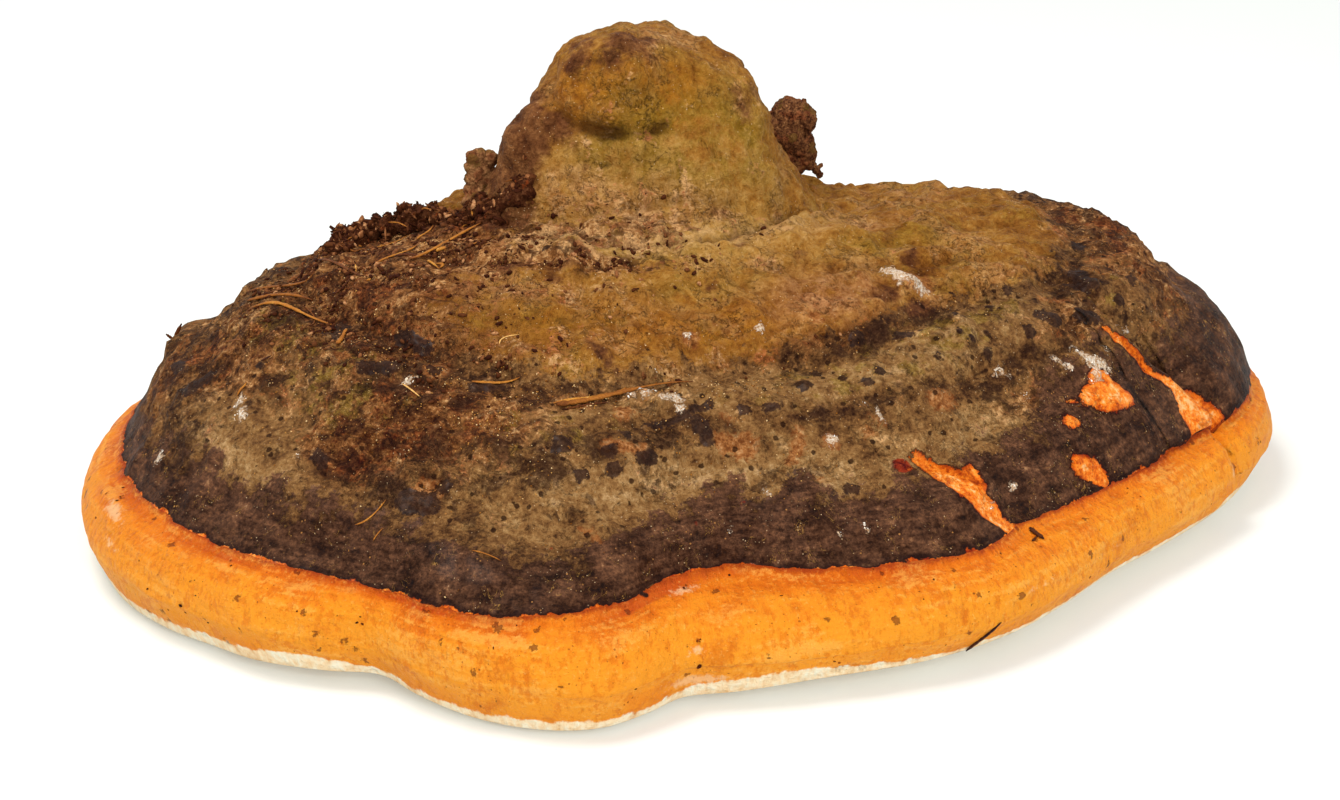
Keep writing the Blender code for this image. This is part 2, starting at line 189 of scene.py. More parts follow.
top_pole, pore_pole = rows * columns, rows * columns + 1
column, beside = np.arange(columns), (np.arange(columns) + 1) % columns
faces = [
    (row * columns + c, (row + 1) * columns + c, (row + 1) * columns + d, row * columns + d)
    for row in range(rows - 1) for c, d in zip(column, beside)
]
faces += [(top_pole, c, d) for c, d in zip(column, beside)]
faces += [((rows - 1) * columns + c, pore_pole, (rows - 1) * columns + d) for c, d in zip(column, beside)]
face_growths = np.concatenate(
    [np.repeat(net_growths[:-1], columns), np.full(columns, -1), np.full(columns, 3)]
)

# Forms that stand out or sink in. Swellings are (x, y, z, radius, height) in millimetres.
SWELLINGS = [
    (-8, 1, 89, 11, 3.8), (-11, -3, 84, 7, 1.4), (-25, 5, 76, 8, 3.4), (-22, -1, 70, 8, 1.6),
    (20, -3, 74, 10, 1.5), (-18, 9, 90, 6, -2.1), (14, 10, 95, 8, -2.3), (24, 9, 82, 7, 0.7),
    (28, 8, 75, 7, -0.9), (-31, 5, 63, 7, 1.8), (55, 2, 57, 13, 1.6), (72, 4, 56, 11, 2.2),
    (40, -20, 56, 10, 1.8), (26, -20, 58, 8, 1.2), (60, -14, 55, 9, 1.3), (36, -33, 54, 7, 1.4),
    (47, -34, 53, 3.5, 1.2), (20, -36, 54, 8, 1.1), (50, -26, 55, 5, -1.0), (30, -27, 56, 5, -1.0),
    (-21, -22, 60, 9, 1.2), (-44, -30, 56, 10, 1.4), (6, -32, 55, 9, 1.2), (-8, -40, 54, 9, 1.0),
    (-28, -40, 54, 8, 0.9), (38, -49, 47, 8, 1.6), (54, -44, 48, 8, 1.6), (70, -36, 47, 8, 1.4),
    (86, -28, 45, 8, 1.0), (84, -44, 36, 11, 1.8), (-60, -60, 40, 12, 1.0), (-86, -30, 40, 12, 1.0),
    (115, 9, 43, 7, -2.4), (116, -3, 43, 7, -2.6), (-97, 14, 32, 9, 2.2), (95, 30, 52, 9, -0.8),
    (-62, 28, 52, 9, -1.0),
]
LAP = (1.0, -2.4, 7)  # how far the fold's front stands out, how far its back sinks, and over what distance
RINGS = [  # (growth, half width, height)
    (0.28, 0.05, -0.6), (0.46, 0.06, 0.8), (0.56, 0.035, -1.6), (0.68, 0.07, 1.2), (0.82, 0.03, -0.7),
    (0.93, 0.05, 1.1),
]
RING_WANDER = 0.03
# Grooves are (depth, half width, the places that they run through)
FOLD = [
    (-22, 0.66), (-23, 0.78), (-22.3, 0.84), (-20.8, 0.90), (-19.8, 0.95), (-19, 1.0), (-20.5, 1.3),
    (-22, 1.9)
]
GROOVES = [
    (1.1, 1.4, [(-134, -0.36), (-126, -0.35), (-114, -0.335), (-100, -0.325), (-88, -0.345)]),
    (1.5, 1.7, [(-124, -0.346), (-116, -0.335), (-108, -0.33)]), (1.2, 1.8, [(-150, -0.42), (-136, -0.37)]),
    (0.7, 1.6, [(-90, -0.34), (-80, -0.37)]),
    (1.0, 1.4, [(-140, 0.03), (-127, -0.03), (-112, -0.055), (-97, -0.089), (-82, -0.11), (-66, -0.09)]),
    (
        1.5, 1.5,
        [(-125, 0.06), (-108, 0.09), (-94, 0.10), (-80, 0.10), (-66, 0.075), (-48, 0.0), (-35, -0.05)]
    ),
    (1.8, 1.3, [(direction + 0.6, growth) for direction, growth in FOLD[:6]]), (3.4, 1.8, FOLD[5:]),
    (1.0, 1.3, [(-56, 0.30), (-48, 0.33), (-40, 0.38), (-32, 0.42), (-24, 0.50)]),
    (1.0, 1.5, [(-44, 0.16), (-30, 0.20), (-16, 0.30), (-8, 0.42), (-4, 0.52)]),
    (0.9, 1.2, [(-70, 0.22), (-62, 0.30), (-56, 0.40), (-52, 0.47)]),
    (0.7, 1.0, [(-106, 0.66), (-100, 0.65), (-92, 0.645), (-87, 0.62)]),
    (0.6, 1.0, [(-76, 0.66), (-68, 0.655), (-62, 0.665)]),
    (0.6, 1.2, [(-50, 0.70), (-42, 0.71), (-36, 0.74), (-30, 0.78), (-25, 0.80)]),
    (0.8, 1.2, [(-135, 0.60), (-129, 0.595), (-123, 0.585), (-117, 0.575)]),
    (0.5, 0.8, [(-127, 0.74), (-121, 0.735), (-115, 0.745), (-110, 0.75)]),
    (0.8, 1.0, [(-107.5, 0.44), (-106, 0.47), (-104, 0.51)]),
    (0.6, 1.0, [(-114, -0.31), (-110, -0.24), (-112, -0.22)]),
    (0.5, 0.8, [(-92, -0.33), (-80, -0.315), (-72, -0.32)]),
    (0.7, 0.8, [(-126, -0.30), (-125, -0.27), (-118, -0.235), (-108, -0.24)]),
    (0.9, 1.5, [(-140, 0.19), (-126, 0.20), (-112, 0.205), (-100, 0.19)]),
    (0.5, 0.9, [(-144, 0.95), (-145.5, 1.02)]),
]

# Where the skin differs, as strokes of (direction, growth, radius in millimetres)
BLISTERS = [
    [(-150.8, 0.495, 2.0), (-150.3, 0.525, 2.2)], [(-139.5, 0.585, 1.6), (-136, 0.565, 2.0)],
    [(-122.5, 0.575, 1.5), (-118.5, 0.555, 1.0)], [(-165.2, 0.755, 1.4), (-165.6, 0.80, 1.8)],
    [(-176.5, 0.815, 1.2), (-173, 0.80, 1.5)], [(-126, 0.832, 2.3), (-123.6, 0.832, 2.6)],
    [(-139.6, 0.785, 1.2), (-137.6, 0.80, 1.4)], [(-122.2, 0.795, 1.5)], [(-156.5, 0.665, 1.0)],
    [(-129.3, 0.545, 1.6)], [(-109.1, 0.697, 2.0)], [(-99.6, 0.733, 1.2), (-98.2, 0.737, 1.4)],
    [(-102.8, 0.745, 1.8)], [(-106.6, 0.752, 1.4)], [(-101.2, 0.676, 1.1)], [(-103.4, 0.712, 1.3)],
    [(-99.4, 0.656, 0.5), (-95.5, 0.658, 0.9), (-92.6, 0.650, 1.3)],
    [(-91.5, 0.635, 1.0), (-88.7, 0.622, 1.1)], [(-91, 0.67, 1.8), (-89.7, 0.72, 1.2)], [(-84, 0.652, 1.6)],
    [(-80.3, 0.645, 1.1), (-78.8, 0.652, 0.9)], [(-73.6, 0.597, 1.4)], [(-70.6, 0.561, 1.1)],
    [(-61.8, 0.513, 1.6)], [(-67.3, 0.597, 0.8)], [(-72.6, 0.846, 1.7)], [(-75, 0.858, 1.1)],
    [(-61.5, 0.612, 1.0)], [(-64.2, 0.627, 1.2)], [(-32.2, 0.676, 1.9), (-30.9, 0.697, 1.7)],
    [(-36, 0.690, 1.2)], [(-43.5, 0.676, 1.2)], [(-41.6, 0.640, 0.9)], [(-44.5, 0.637, 0.8)],
    [(-51.8, 0.634, 0.9)], [(-46.2, 0.61, 0.7)], [(-43.3, 0.563, 1.3)], [(-36.2, 0.582, 1.1)],
    [(-30.6, 0.575, 1.4)], [(-22.3, 0.66, 1.7)], [(-20.3, 0.672, 2.4)],
    [(-26.7, 0.722, 2.0), (-25.4, 0.74, 1.4)], [(-18.7, 0.64, 2.0)],
    [(-55.5, 0.548, 0.9), (-51, 0.560, 1.0)], [(-14.5, 0.735, 1.5)], [(-9.5, 0.59, 1.8)],
    [(-19, 0.745, 1.4)], [(-120, 0.965, 1.0)], [(-133.5, 0.485, 1.6), (-139, 0.475, 1.2)],
    [(-99.5, 1.012, 0.9)], [(-119.5, 0.155, 0.6)],
]
ORANGE = [
    [(-34.2, 0.852, 2.0), (-32.2, 0.862, 3.4), (-30.4, 0.880, 3.0), (-29, 0.894, 1.6)],
    [(-31.6, 0.83, 1.6), (-30.6, 0.845, 2.0)], [(-39, 0.876, 1.3), (-38.3, 0.876, 1.1)],
    [(-41.2, 0.95, 2.0), (-39.8, 0.965, 2.3), (-38.7, 0.992, 1.2)],
    [
        (-62, 0.796, 1.3), (-61, 0.835, 1.8), (-59.6, 0.868, 2.6), (-58.2, 0.905, 3.0), (-57.4, 0.94, 2.8),
        (-56.4, 0.965, 2.0), (-55.6, 0.99, 1.7), (-55, 1.0, 1.7)
    ],
    [(-56.2, 0.868, 1.2), (-57, 0.89, 1.6)],
    [
        (-25.6, 0.765, 0.5), (-24.9, 0.80, 0.7), (-23.8, 0.84, 0.8), (-22.9, 0.88, 0.8), (-21.8, 0.905, 1.0),
        (-21, 0.925, 1.8), (-20.8, 0.945, 3.6), (-20.6, 0.97, 5.8), (-20, 1.0, 8.0)
    ],
    [(-36.9, 0.834, 0.5), (-36.0, 0.842, 0.6)], [(-65.2, 0.800, 0.5)], [(-64.2, 0.822, 0.5)],
]
RAISED_ORANGE = 4  # how many of these strokes, the first ones, stand out
RED_BUMPS = [
    [(-64.8, 0.81, 1.9)], [(-86.3, 0.862, 0.5)], [(-109, 0.888, 0.5)], [(-93, 0.90, 0.4)],
    [(-61.5, 0.795, 0.5)]
]
PEACH = [
    [(-86.9, 0.655, 1.3), (-85.8, 0.662, 1.2)], [(-87.8, 0.715, 2.0), (-84.8, 0.725, 2.6)],
    [(-76.2, 0.70, 1.1), (-77.2, 0.735, 1.4), (-78.6, 0.765, 1.0)], [(-72.8, 0.735, 1.9)],
    [(-55.6, 0.715, 2.2), (-53.6, 0.725, 2.0)], [(-65.2, 0.705, 1.2)], [(-67.2, 0.728, 1.1)],
    [(-129.3, 0.545, 2.6)], [(-144.5, 0.575, 1.6)], [(-76.2, 0.815, 0.8)],
    [(-103.2, 0.70, 1.5), (-100, 0.71, 1.6)], [(-105.5, 0.855, 0.6), (-104, 0.885, 0.6)],
    [(-124, 0.815, 3.4)], [(-168.4, 0.90, 2.0)], [(-44.8, 0.43, 3.2), (-43.2, 0.45, 3.0)],
    [(-90, 0.44, 1.8)], [(-66.5, 0.43, 1.8)], [(-101.5, 0.62, 2.2)],
    [(-28.5, 0.64, 0.7), (-26.2, 0.675, 0.9)],
]
WHITE = [
    [(-156.2, 0.745, 1.0), (-155.8, 0.76, 0.8)], [(-153.8, 0.768, 0.9), (-152.9, 0.772, 0.8)],
    [(-161.6, 0.92, 0.8), (-161.4, 0.94, 0.6)], [(-132.2, 0.59, 1.2)], [(-142, 0.80, 0.6)],
    [(-34.7, 0.76, 0.8), (-33.8, 0.79, 0.9)], [(-31.8, 0.83, 1.0), (-30.4, 0.805, 1.5), (-29.6, 0.83, 1.2)],
    [(-43.2, 0.715, 0.6), (-42.6, 0.74, 0.5)], [(-41.3, 0.786, 0.7)], [(-56.2, 0.945, 0.6)],
    [(-64.9, 0.70, 0.5), (-64.6, 0.715, 0.4)], [(-66.4, 0.672, 0.5)], [(-72.6, 0.735, 0.8)],
    [(-47.6, 0.38, 1.4), (-46.3, 0.417, 2.0), (-44.7, 0.448, 2.0), (-43.8, 0.47, 1.2)], [(-77, 0.435, 0.8)],
    [(-100.3, 0.575, 1.0)], [(-98.4, 0.578, 1.3)], [(-95.8, 0.597, 1.5), (-93.5, 0.598, 1.2)],
    [(-93.2, 0.629, 0.9)], [(-96.5, 0.518, 0.5)], [(-99.1, 0.565, 0.6)],
    [(-31.6, 0.768, 0.8), (-31.1, 0.806, 1.2)], [(-27.3, 0.80, 0.5)], [(-22.2, 0.79, 0.8)],
    [(-21, 0.80, 0.6)], [(-90.3, 0.43, 0.7)], [(-83, 0.835, 0.5)], [(-88.6, 0.923, 0.5)],
    [(-73, 0.928, 0.7)], [(-75.8, 0.935, 0.5)], [(-51.8, 0.935, 0.8)],
]

# Soft patches are (direction, growth, half width and half height in millimetres, strength)
SHADES = [
    (-100, 0.42, 45, 9, -0.10), (-75, 0.10, 40, 12, 0.08), (-112, 0.12, 14, 8, 0.06),
    (-35, 0.30, 25, 10, -0.06), (-128, 0.0, 8, 8, 0.12), (-115, 0.33, 18, 5, 0.05),
    (-20, 0.42, 25, 12, 0.03), (-108, 0.53, 28, 4, -0.02), (-52, 0.52, 22, 3.0, -0.24),
    (-22, 0.63, 14, 8, -0.22), (-66, 0.50, 9, 3, -0.18), (-92, 0.10, 40, 12, 0.22),
    (-90, -0.18, 26, 9, 0.17), (-50, 0.05, 18, 8, 0.06), (-40, -0.30, 14, 12, 0.08),
    (-160, 0.12, 24, 14, 0.10), (-96, 0.51, 22, 3, 0.10), (-10, 0.76, 24, 14, 0.06),
    (-40, 0.41, 7, 3, -0.3), (-77, 0.595, 26, 3.6, 0.18), (-48, 0.62, 16, 5, 0.20),
    (-116, 0.66, 12, 7, 0.14), (-30, 0.62, 8, 5, 0.16), (-97, 0.665, 11, 3.0, -0.24),
    (-68, 0.685, 12, 3.2, -0.26), (-41, 0.735, 12, 3.0, -0.26), (-90, 0.69, 4, 5, -0.2),
    (-88, 0.775, 20, 6.5, 0.20), (-104, 0.81, 10, 6, 0.14), (-50, 0.81, 14, 4, 0.20),
    (-68, 0.80, 16, 5, 0.06), (-76, 0.86, 5, 4, 0.12), (-30, 0.83, 10, 8, -0.08), (-33, 0.75, 10, 2.5, 0.1),
    (-150, 0.84, 18, 5.5, 0.22), (-156, 0.64, 22, 7, 0.10), (-134, 0.78, 9, 10, -0.16),
    (-130, 0.68, 16, 10, -0.12), (-112, 0.83, 9, 6, 0.08), (-124, 0.88, 10, 5, -0.05),
    (-136, 0.50, 16, 5, -0.14), (-150, 0.52, 14, 5, -0.10), (-170, 0.75, 14, 9, -0.10),
    (-165, 0.93, 10, 5, -0.04), (-14, 0.72, 20, 14, -0.04), (-8, 0.92, 20, 8, 0.04),
    (0, 0.52, 18, 7, -0.16), (-150, 0.05, 14, 5, -0.3), (-20, 0.55, 20, 4, -0.05),
]
GOLDEN = [
    (-128, -0.47, 11, 6, 1.0), (-100, -0.47, 9, 5, 0.7), (-120, -0.38, 12, 3, 0.8),
    (-106, 0.40, 18, 6, 0.7), (-78, 0.42, 14, 5, 0.6), (-92, 0.35, 24, 7, 0.5),
]
ROSY = [
    (-64, 0.34, 9, 9, 1.0), (-56, 0.42, 8, 6, 0.7), (-132, 0.30, 16, 7, 0.6), (-112, -0.20, 10, 6, 0.6),
    (-20, 0.15, 14, 5, 0.6), (-96, -0.10, 10, 5, 0.4), (-38, 0.10, 12, 5, 0.5), (-88, 0.34, 10, 5, 0.4),
    (8, 0.25, 16, 6, 0.5),
]
OLIVE = [
    (-92, -0.27, 14, 4, 0.9), (-50, -0.35, 10, 7, 0.9), (-70, 0.06, 26, 5, 0.6), (-104, 0.16, 14, 6, 0.7),
    (-84, 0.30, 10, 6, 0.7), (-35, 0.26, 18, 6, 0.7), (-118, 0.38, 12, 5, 0.5), (-60, -0.15, 12, 8, 0.5),
]
BLOTCHES = [
    (-150, 0.56, 30, 8, 0.6), (-132, 0.60, 14, 7, 0.7), (-128, 0.80, 14, 6, 0.8), (-168, 0.80, 16, 9, 0.7),
    (-98, 0.70, 14, 4, 0.8), (-72, 0.67, 18, 3, 0.8), (-45, 0.72, 14, 3.5, 0.8), (-52, 0.53, 20, 2.6, 0.9),
    (-22, 0.66, 18, 7, 0.7), (-10, 0.58, 18, 6, 0.6), (-84, 0.81, 14, 3, 0.5), (-110, 0.72, 12, 6, 0.6),
    (-48, 0.62, 16, 5, 0.25), (-76, 0.60, 22, 5, 0.2), (-140, 0.48, 12, 4, 0.8), (-12, 0.86, 18, 7, 0.3),
    (10, 0.6, 20, 10, 0.7), (-34, 0.78, 12, 4, 0.9), (-108, 0.55, 20, 3, 0.5), (90, 0.7, 60, 20, 0.7),
    (160, 0.6, 60, 20, 0.7), (-38, 0.46, 10, 4, 0.8), (-118, 0.74, 14, 5, 0.6), (-160, 0.90, 16, 5, 0.6),
]
LICHEN = [
    (-140, 0.66, 10, 5, 1.0), (-152, 0.58, 22, 7, 0.5), (-112, 0.66, 12, 8, 0.5), (-165, 0.60, 16, 7, 0.4),
    (-60, 0.60, 30, 7, 0.5), (-20, 0.72, 14, 6, 0.4), (-40, 0.60, 16, 5, 0.6),
]
# Red blush on the rim under the crust's edge, as soft patches; the last, wide one darkens the rim's left
# side as painted shade
BLUSH_AND_SHADE = [
    (-120, 1.04, 22, 3, 0.8), (-99, 1.05, 9, 5, 1.0), (-90, 1.03, 8, 3, 0.6), (-146, 1.05, 10, 5, 0.6),
    (-52, 1.05, 14, 3, 0.5), (-24, 1.10, 8, 8, 0.4), (-160, 1.08, 10, 6, 0.5), (-70, 1.02, 20, 2, 0.4),
    (-154, 1.35, 36, 26, 0.45),
]
# Whitish bloom on the orange rim, as soft patches; the narrow one at -22 along the fold's edge is a painted
# highlight
BLOOM_AND_HIGHLIGHT = [
    (-161, 1.22, 5, 8, 0.9), (-158, 1.42, 5, 5, 0.6), (-95, 1.08, 3.5, 3, 0.9), (-94, 1.50, 4, 5, 0.5),
    (-94, 1.80, 7, 4, 1.0), (-57, 1.45, 7, 4, 0.5), (-112, 1.25, 3, 3, 0.5), (-22, 1.45, 2, 8, 0.8),
    (-44, 1.5, 12, 6, 0.3),
]
RUST = [
    (-165, 0.08, 24, 14, 1.0), (-170, 0.36, 32, 14, 0.9), (-150, 0.50, 26, 8, 0.9),
    (-131, 0.68, 13, 9, 0.95), (-134, 0.19, 14, 3.5, 0.8), (-118, 0.205, 11, 2.6, 0.6),
    (-102, 0.19, 9, 2.2, 0.35), (-164, 0.66, 24, 9, 0.8), (-136, 0.78, 9, 5, 0.9),
    (-145, 0.32, 14, 10, 0.35), (-112, 0.58, 18, 3, 0.4), (-118, 0.66, 10, 6, 0.6), (-65, 0.50, 14, 3, 0.4),
    (-88, 0.50, 14, 3, 0.2), (-176, 0.85, 18, 12, 0.6), (-6, 0.80, 22, 14, 0.7), (0, 0.62, 20, 8, 0.6),
    (-158, 0.93, 16, 5, 0.5), (-42, 0.80, 10, 4, 0.4), (-28, 0.72, 8, 5, 0.5),
]
PLUM = [  # purple-brown stains, with wide soft edges
    [(-157, -0.63, 2.6), (-146, -0.60, 1.6)], [(-118, -0.64, 2.4), (-100, -0.66, 2.6), (-90, -0.70, 1.8)],
    [(-140, -0.53, 2.2)], [(-96, -0.62, 1.4), (-92, -0.57, 1.8)], [(-118, -0.56, 2.0)],
    [(-172, -0.40, 5), (-158, -0.33, 6.5), (-152, -0.18, 6.2), (-150, -0.05, 4.5), (-142, 0.03, 2.2)],
    [(-142, -0.35, 3.4), (-132, -0.33, 2.0), (-127, -0.30, 1.2)], [(-40, -0.44, 1.6), (-43, -0.39, 2.2)],
    [(-44, -0.395, 1.6), (-42, -0.37, 1.8)], [(-30, -0.44, 1.2), (-24, -0.42, 1.6)],
    [(-180, -0.25, 5), (-175, -0.05, 5)], [(-73, -0.055, 0.9), (-69, -0.05, 1.2)], [(-72, 0.145, 0.8)],
    [(-102, 0.035, 0.5)], [(-119, -0.23, 0.5)], [(-107.5, 0.45, 0.8), (-105, 0.49, 1.0), (-103, 0.51, 0.8)],
    [(-128, 0.22, 0.8), (-125, 0.21, 0.6)], [(-48, 0.50, 1.5), (-44, 0.50, 1.2)],
    [(-53, 0.44, 1.5), (-50, 0.445, 1.2)], [(-38.8, 0.35, 1.0), (-37.6, 0.35, 0.6)],
    [(-138, -0.08, 3.0), (-142, 0.02, 2.0)], [(-116, 0.26, 0.7)], [(-60, 0.22, 0.6)], [(-84, 0.30, 0.6)],
]
LEATHER_EDGE = [  # how far out the tan old crust reaches
    (-180, 0.10), (-160, 0.12), (-150, 0.24), (-142, 0.44), (-130, 0.47), (-118, 0.50), (-104, 0.52),
    (-92, 0.50), (-75, 0.50), (-60, 0.49), (-45, 0.50), (-32, 0.55), (-20, 0.58), (-5, 0.53), (20, 0.50),
    (90, 0.40), (150, 0.25),
]
BELT_EDGE = [  # where the dark belt starts
    (-180, 0.93), (-165, 0.90), (-156, 0.885), (-148, 0.89), (-138, 0.87), (-128, 0.87), (-119, 0.88),
    (-112, 0.89), (-106, 0.885), (-102, 0.855), (-95, 0.85), (-89.5, 0.83), (-86.5, 0.825), (-83, 0.86),
    (-80, 0.80), (-77.5, 0.82), (-75, 0.875), (-72, 0.85), (-69, 0.86), (-64, 0.83), (-60, 0.85),
    (-54, 0.835), (-48, 0.845), (-42, 0.83), (-38, 0.80), (-34, 0.79), (-29, 0.80), (-24, 0.82),
    (-18, 0.86), (-8, 0.84), (10, 0.88), (90, 0.9), (160, 0.93),
]
LIP_EDGE = [  # where the orange gives way to the cream pore layer
    (-180, 1.86), (-165, 1.85), (-152, 1.87), (-140, 1.84), (-132, 1.80), (-126, 1.88), (-118, 1.89),
    (-106, 1.87), (-99, 1.90), (-93, 1.84), (-86, 1.80), (-80, 1.83), (-72, 1.88), (-60, 1.89), (-45, 1.90),
    (-30, 1.88), (-22, 1.86), (0, 1.88), (90, 1.85),
]
KNOB_SPAN, CROWN_SPAN = 55.0, 100.0  # millimetres that one growth spans
FAR = 6.0


def place_on_skin(direction, growth):
    return bracket_surface(np.array([direction], float), np.array([growth], float))[0]


def gap_to(strokes):
    """How far each point of the skin is outside the nearest stroke, in millimetres, and negative inside."""
    gap = np.full(len(skin), FAR)
    for stroke in strokes:
        joints = [(place_on_skin(direction, growth), radius) for direction, growth, radius in stroke]
        for (start, first), (end, last) in zip(joints, joints[1:] or joints):
            run = end - start
            t = np.clip((skin - start) @ run / max(run @ run, 1e-6), 0, 1)
            away = np.linalg.norm(skin - start - t[:, None] * run, axis=1)
            gap = np.minimum(gap, away - first - (last - first) * t)
    return gap


def soft(patches):
    """The summed strength of soft patches that stretch along the growth rings."""
    total = np.zeros(len(skin))
    distance = np.hypot(skin[:, 0], skin[:, 1])
    for direction, growth, half_width, half_height, strength in patches:
        aside = np.radians((directions - direction + 180) % 360 - 180) * distance
        out = (growths - growth) * (KNOB_SPAN if growth < 0 else CROWN_SPAN)
        total += strength * np.exp(-((aside / half_width) ** 2) - (out / half_height) ** 2)
    return total


def grain(points, size, seed, octaves=3):
    """Fractal noise at each point, about -1 to 1."""
    shift = Vector((seed, 2 * seed, 3 * seed))
    return np.array([noise.fractal(Vector(point) / size + shift, 0.9, 2.1, octaves) for point in points])


across_back = np.stack([np.cos(np.radians(directions)), np.sin(np.radians(directions))], -1) * 110
ring_places = np.column_stack([across_back, growths * 100])
on_crown = (growths > 0) & (growths <= 1)
on_rim = ease(0.99, 1.02, growths) * (1 - ease(1.8, 2, growths))
blister_gap, orange_gap, white_gap = gap_to(BLISTERS), gap_to(ORANGE), gap_to(WHITE)
belt = growths - around(BELT_EDGE, directions)

hollow = np.zeros(len(skin))
for depth, half_width, line in GROOVES:
    away = gap_to([[(direction, growth, 0) for direction, growth in line]])
    hollow += depth * np.exp(-((away / half_width) ** 2))
relief = -hollow
for x, y, z, radius, amount in SWELLINGS:
    relief += amount * np.exp(-((np.linalg.norm(skin - (x, y, z), axis=1) / radius) ** 2))
wander = np.array([noise.noise(Vector((turn / 25, 3, 0))) for turn in directions])
old_crust = np.maximum(around(LEATHER_EDGE, directions), 0.44) - 0.52
for growth, half_width, amount in RINGS:
    off = growths + RING_WANDER * wander - growth - old_crust
    relief += amount * np.exp(-((off / half_width) ** 2)) * on_crown
crusty = 1 - ease(0.96, 1.0, growths)
smooth_belt = ease(-0.02, 0.03, belt)
on_knob = ease(0.02, -0.12, growths)
bulges = np.array([noise.fractal(Vector(point) / 13, 0.9, 2, 3) for point in skin])
relief += 0.8 * bulges * (0.3 + 0.7 * crusty)
leathery = ease(-0.05, 0.05, around(LEATHER_EDGE, directions) - growths)
relief += (2.8 - 0.8 * on_knob) * (np.abs(grain(skin, 12, 8, 2)) - 0.25) * leathery
pillows = np.abs(grain(skin, 6.5, 2, 2)) + 0.5 * np.abs(grain(skin, 2.9, 4, 2)) - 0.35
relief += 1.5 * pillows * crusty * (1 - 0.75 * smooth_belt) * (1 - 0.35 * on_knob)
scaly = np.clip(soft(BLOTCHES) + soft(RUST), 0, 1) * crusty * (growths > 0)
relief += 0.7 * np.abs(grain(skin, 2.0, 6, 3)) * scaly
relief += 0.55 * ease(0.5, -0.9, blister_gap) * crusty
relief -= 0.6 * ease(0.3, -0.5, gap_to(ORANGE[RAISED_ORANGE:])) * crusty
raised_gap = gap_to(ORANGE[:RAISED_ORANGE])
relief += 0.5 * ease(0.4, -1.2, raised_gap) * crusty * (1 + np.abs(grain(skin, 1.6, 7, 2)))
relief += 0.9 * ease(0.6, -1.4, gap_to(RED_BUMPS))
relief += 0.35 * ease(0.3, -0.4, white_gap) * crusty
fibres = np.array([noise.fractal(Vector((x / 2.4, y / 2.4, g / 30)), 0.8, 2, 2) for x, y, g in ring_places])
swell = np.array([noise.noise(Vector((x / 9, y / 9, g / 12))) for x, y, g in ring_places])
relief += (0.22 * fibres + 0.45 * swell) * on_rim
fold_growths, fold_directions = np.array([(growth, direction) for direction, growth in FOLD]).T
fold_turn = np.radians(directions - np.interp(growths, fold_growths, fold_directions))
past_fold = fold_turn * np.hypot(skin[:, 0], skin[:, 1])
lap = np.exp(-((past_fold / LAP[2]) ** 2)) * ease(0.66, 0.84, growths)
relief += np.where(past_fold < 0, LAP[0], LAP[1]) * lap
relief *= 1 - ease(1.75, 1.97, growths)


def new_mesh(name, points, faces, seat=HUB):
    """A mesh from points in millimetres, smooth shaded."""
    mesh = bpy.data.meshes.new(name)
    mesh.from_pydata(((np.asarray(points) + (*seat, 0)) * MM).tolist(), [], faces)
    mesh.shade_smooth()
    return mesh


bracket_mesh = new_mesh("bracket_fungus", skin, faces)
normals = np.zeros(len(skin) * 3, np.float32)
bracket_mesh.vertex_normals.foreach_get("vector", normals)
shaped = (skin + relief[:, None] * normals.reshape(-1, 3) + (*HUB, 0)) * MM
shaped[:, 2] = np.maximum(shaped[:, 2], 0)
bracket_mesh.vertices.foreach_set("co", shaped.ravel())

skin_facts = {
    "growth": growths,
    "hollow": hollow,
    "tone": 0.5 + soft(SHADES),
    "rust": np.clip(soft(RUST), 0, 1),
    "plum": gap_to(PLUM),
    "golden": np.clip(soft(GOLDEN), 0, 1),
    "rosy": np.clip(soft(ROSY), 0, 1),
    "olive": np.clip(soft(OLIVE), 0, 1),
    "blotch": np.clip(soft(BLOTCHES), 0, 1),
    "lichen": np.clip(soft(LICHEN), 0, 1),
    "blush": np.clip(soft(BLUSH_AND_SHADE), 0, 1),
    "bloom": np.clip(soft(BLOOM_AND_HIGHLIGHT), 0, 1),
    "leather": around(LEATHER_EDGE, directions) - growths,
    "belt": belt,
    "lip": growths - around(LIP_EDGE, directions),
    "blister": blister_gap,
    "orange": orange_gap,
    "red": gap_to(RED_BUMPS),
    "peach": gap_to(PEACH),
    "white": white_gap,
}
for name, values in skin_facts.items():
    bracket_mesh.attributes.new(name, "FLOAT", "POINT").data.foreach_set("value", values.astype(np.float32))
places = bracket_mesh.attributes.new("ring_place", "FLOAT_VECTOR", "POINT")
places.data.foreach_set("vector", ring_places.astype(np.float32).ravel())
bracket_mesh.polygons.foreach_set(
    "material_index", np.digitize(face_growths, (1.0, 2.0)).astype(np.int32)
)

# The cut at the back, closed with flesh
bm = bmesh.new()
bm.from_mesh(bracket_mesh)
bmesh.ops.bisect_plane(
    bm, geom=[*bm.verts, *bm.edges, *bm.faces], dist=1e-7,
    plane_co=(0, (HUB[1] + TRUNK_SIDE) * MM, 0), plane_no=(0, 1, 0), clear_outer=True,
)
rim_of_cut = [edge for edge in bm.edges if edge.is_boundary]
closed = bmesh.ops.triangle_fill(bm, edges=rim_of_cut, use_beauty=True, normal=(0, 1, 0))
FLESH_SLOT = 3
for face in closed["geom"]:
    if isinstance(face, bmesh.types.BMFace):
        face.material_index = FLESH_SLOT
        face.smooth = False
        if face.normal.y < 0:
            face.normal_flip()
for edge in rim_of_cut:
    edge.smooth = False
bm.to_mesh(bracket_mesh)
bm.free()


